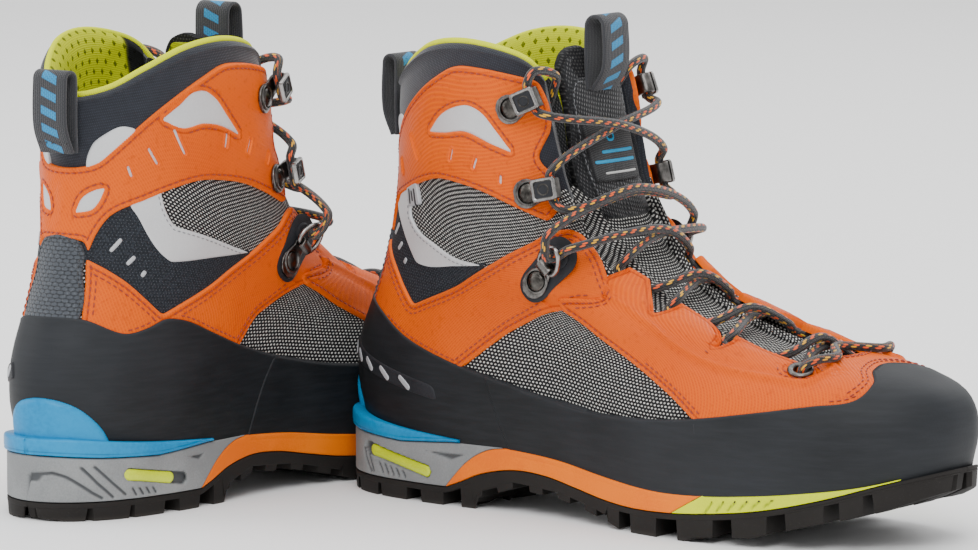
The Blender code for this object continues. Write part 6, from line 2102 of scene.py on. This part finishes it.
def locks():
    """Instep locks: a black teardrop pad, a curled plate with a rivet, a ring and its disc."""
    for where, side in (("lateral", -1), ("medial", 1)):
        at = surface_frame(side, LOCK_RIVET, LOCK_RING, PANEL_FACE + GAP)
        origin, along, up, across = at
        drop = [(-9.6, 0.0), (-8.8, 4.0), (-6.0, 6.6), (-2.0, 7.6), (3.0, 7.4), (9.0, 7.8), (15.0, 8.6),
                (19.5, 7.4), (22.2, 4.2), (23.0, 0.0)]
        drop += [(x, -y) for x, y in reversed(drop[1:-1])]
        drop = round_flat(drop)
        shape = stack(drop, at, [(1.0, -0.7), (1.0, -0.2), (0.95, 0.0), (0.0, 0.02)])
        add_shape(f"lock_pad_{where}", shape, HOOK_RUBBER, slot="gunmetal", smooth_angle=40)
        path = [(-7.6, PLATE / 2), (-3.0, PLATE / 2), (3.0, PLATE / 2)] + arc(LOCK_BAR, 2.2, -110, 170, 12)
        fine = smooth_path(path, 0.4)
        run = np.concatenate([[0], np.cumsum(np.linalg.norm(np.diff(fine, axis=0), axis=1))])
        widths = np.interp(run, [0, 0.8, 2.4, 5.0, 7.6, 10.5, 13.5, 40],
                           [4.0, 7.0, 10.2, 11.8, 11.6, 9.0, 6.8, 6.6])
        shape = strap(at, fine, widths, 0.95, 0.3)
        add_shape(f"lock_plate_{where}", shape, METAL, stands_for=(f"lock_plate_{where}",), slot="gunmetal")
        rise = PLATE - 0.1
        rivet_at(f"lock_{where}", at, rise)
        pivot = origin + along * LOCK_BAR[0] + up * LOCK_BAR[1]
        out = along * math.cos(RING_TILT) + up * math.sin(RING_TILT)
        half, reach = 5.2, 11.6                  # half width and length of the ring, mm
        turns = [math.radians(a) for a in range(20, 161, 10)]
        bow = [(reach * math.sin(a), half * 1.12 * math.cos(a)) for a in turns]
        wire = round_flat([(0, -half + 0.6), (0, -2.2), (0, 2.2), (0, half - 0.6)] + bow, 2)
        ring = [pivot + out * x + across * y for x, y in wire]
        shape = tube(ring, 1.05, 12, closed=True)
        add_shape(f"lock_ring_{where}", shape, BRIGHT_METAL, body=f"lock_ring_{where}",
                  stands_for=(f"lock_ring_{where}",), slot="gunmetal", smooth_angle=180)
        disc_at = (origin + along * (LOCK_BAR[0] + 6.4) + up * -0.1, along, up, across)
        shape = turned(disc_at, [(4.9, -0.5), (4.9, 0.6), (4.5, 0.95), (3.5, 1.0), (3.2, 0.7),
                                 (2.2, 0.7), (1.9, 1.0), (0.3, 1.02)], 32)
        add_shape(f"lock_disc_{where}", shape, HOOK_RUBBER, slot="gunmetal", smooth_angle=40)


def round_flat(outline, rounds=2):
    """A smooth closed outline through flat points."""
    pts = np.array(outline, float)
    for _ in range(rounds):
        nxt = np.roll(pts, -1, 0)
        pts = np.stack([pts * 0.75 + nxt * 0.25, pts * 0.25 + nxt * 0.75], 1).reshape(-1, 2)
    return pts


def eyelets():
    """Metal grommets at the bottom of the lacing."""
    for where, side in (("lateral", -1), ("medial", 1)):
        at = surface_frame(side, GROMMET, (GROMMET[0] + 0.05, GROMMET[1]), PANEL_FACE + GAP)
        profile = [(2.75, -1.6), (3.9, -1.6), (5.4, 0.0), (5.5, 0.3), (5.2, 0.75), (4.6, 0.98), (3.8, 0.9),
                   (3.1, 0.5), (2.8, -0.2)]
        shape = turned(at, profile, 36, hollow=True)
        add_shape(f"eyelet_{where}", shape, METAL, stands_for=(f"eyelet_{where}",), slot="gunmetal",
                  smooth_angle=60)


UNDER, OVER, TUNNEL = 0.6, 5.4, -2.1


def hook_pass(side, place):
    """The lace's stops round a hook."""
    origin, along, up, across = hook_frame(side, place)
    rise = across if across[2] > 0 else -across
    seat = origin + along * (HOOK_REACH - 0.2) + up * (PLATE / 2 + HOOK_BEND)
    ahead = along * 5.0
    return [seat - rise * 10 + ahead, seat - rise * 5.6, seat, seat + rise * 5.6, seat + rise * 10 + ahead]


def ring_pass(side):
    """The lace's stops through a lock's ring."""
    origin, along, up, across = surface_frame(side, LOCK_RIVET, LOCK_RING, PANEL_FACE + GAP)
    rise = across if across[2] > 0 else -across
    pivot = origin + along * LOCK_BAR[0] + up * LOCK_BAR[1]
    out = along * math.cos(RING_TILT) + up * math.sin(RING_TILT)
    top = up * math.cos(RING_TILT) - along * math.sin(RING_TILT)
    return [pivot + out * 17 - top * 3.8 - rise * 5, pivot + out * 11.5 - top * 3.7 - rise * 2.2,
            pivot + out * 7.0 - top * 1.9 - rise * 0.8, pivot + out * 6.6 + top * 1.9 + rise * 0.5,
            pivot + out * 11.5 + top * 3.8 + rise * 2.2, pivot + out * 17 + top * 2.5 + rise * 5]


def half_lace(start):
    """Half of the lace, from the bar over the toe end of the throat to its tucked end."""
    route = []

    def go(side, *stops):
        route.extend(over(side * w, v, offset) for w, v, offset in stops)

    def cross(level, high):
        route.append(over(1.0, level, OVER if high else UNDER))

    s = start
    go(s, (0.90, 0.405, 5.4), (0.83, 0.378, 6.4), (0.799, 0.3625, 4.6), (0.795, 0.3605, 1.5),
       (0.795, 0.3605, -1.5), (0.799, 0.3625, -4.8), (0.83, 0.385, -6.0), (0.875, 0.415, -5.2),
       (0.905, 0.443, -1.4))
    cross(0.466, start > 0)
    s = -s
    go(s, (0.875, 0.452, 0.6), (0.825, 0.452, TUNNEL), (0.80, 0.462, TUNNEL), (0.815, 0.49, TUNNEL),
       (0.87, 0.508, 0.3))
    cross(0.545, start < 0)
    s = -s
    go(s, (0.885, 0.540, 0.6), (0.835, 0.538, TUNNEL), (0.815, 0.55, TUNNEL), (0.835, 0.578, TUNNEL),
       (0.885, 0.595, 0.6))
    cross(0.63, start > 0)
    s = -s
    go(s, (0.89, 0.625, 0.6), (0.84, 0.623, TUNNEL), (0.805, 0.635, TUNNEL), (0.81, 0.66, TUNNEL),
       (0.86, 0.683, 0.6))
    cross(0.725, start < 0)
    s = -s
    route.extend(ring_pass(s))
    cross(0.81, start > 0)
    s = -s
    route.extend(hook_pass(s, HOOKS["lower"]))
    cross(0.93, start < 0)
    s = -s
    route.extend(hook_pass(s, HOOKS["upper"]))
    go(s, (0.855, 1.03, -0.5), (0.85, 1.0, -6.0), (0.83, 0.97, -12.0), (0.82, 0.93, -14.0))
    return route


def lace():
    """The whole lace, along the route that the hooks, rings, lobes and eyelets hold it in."""
    route = half_lace(-1)[::-1] + [over(1.0, 0.448, 4.0)] + half_lace(1)
    fine = smooth_path(np.array([list(map(float, p)) for p in route]), 0.9)
    points, faces, uv, marks = tube(fine, LACE_R, 14)
    add("lace", points, faces, LACE, stands_for=("lace",), uv=uv, marks=marks, slot="lace_cord",
        smooth_angle=180)


# ======================================================================================
# Making it all
# ======================================================================================
base_upper()
ankle_patches()
heel_patch()
rands()
quarters()
vamp()
cuff()
collar()
throat_bands()
tongue()
outsole()
sole_layers()
footbed()
loops()
hooks()
locks()
eyelets()
lace()

# ---- floor, light and camera ---------------------------------------------------------
scene = bpy.context.scene
FLOOR_HALF = 9                            # metres
SENSOR, LENS = 36, 232.4                  # millimetres
CAMERA_PLACE = (1.5674, -2.126, 0.425)    # metres
CAMERA_TILT, CAMERA_TURN = 82.97, 36.75   # degrees
LIGHT_AIM = (0, 0, 0.1)                   # metres


def studio_floor():
    """Plain pale floor."""
    mesh = bpy.data.meshes.new("studio_floor")
    h = FLOOR_HALF
    mesh.from_pydata([(-h, -h, 0), (h, -h, 0), (h, h, 0), (-h, h, 0)], [], [(0, 1, 2, 3)])
    floor = bpy.data.objects.new("studio_floor", mesh)
    scene.collection.objects.link(floor)
    k = Look("studio_floor", 0.6, specular=0.2)
    k.finish(srgb(252, 252, 252))
    mesh.materials.append(k.material)


def area_light(name, place, aim, size, power, colour=(1, 1, 1)):
    """A soft rectangular lamp, aimed at a place."""
    data = bpy.data.lights.new(name, "AREA")
    data.shape, data.size, data.size_y = "RECTANGLE", size[0], size[1]
    data.energy, data.color = power, colour
    lamp = bpy.data.objects.new(name, data)
    scene.collection.objects.link(lamp)
    lamp.location = place
    lamp.rotation_euler = (Vector(aim) - Vector(place)).to_track_quat("-Z", "Y").to_euler()


studio_floor()
area_light("key_light", (1.2, -1.9, 2.3), LIGHT_AIM, (1.6, 1.6), 56)
area_light("top_light", (-0.2, 0.2, 2.6), LIGHT_AIM, (2.4, 2.4), 40)
area_light("fill_light", (-2.2, -1.3, 1.3), LIGHT_AIM, (1.8, 1.8), 26)
area_light("rim_light", (0.2, 2.4, 1.6), LIGHT_AIM, (2.0, 1.2), 24)

world = bpy.data.worlds.new("studio_world")
world.use_nodes = True
world.node_tree.nodes["Background"].inputs["Color"].default_value = (1, 1, 1, 1)
world.node_tree.nodes["Background"].inputs["Strength"].default_value = 0.95
scene.world = world

camera_data = bpy.data.cameras.new("photo_camera")
camera_data.sensor_width, camera_data.lens = SENSOR, LENS
camera_data.clip_start, camera_data.clip_end = 0.05, 60
camera = bpy.data.objects.new("photo_camera", camera_data)
scene.collection.objects.link(camera)
camera.location = CAMERA_PLACE
camera.rotation_euler = (math.radians(CAMERA_TILT), 0, math.radians(CAMERA_TURN))
scene.camera = camera
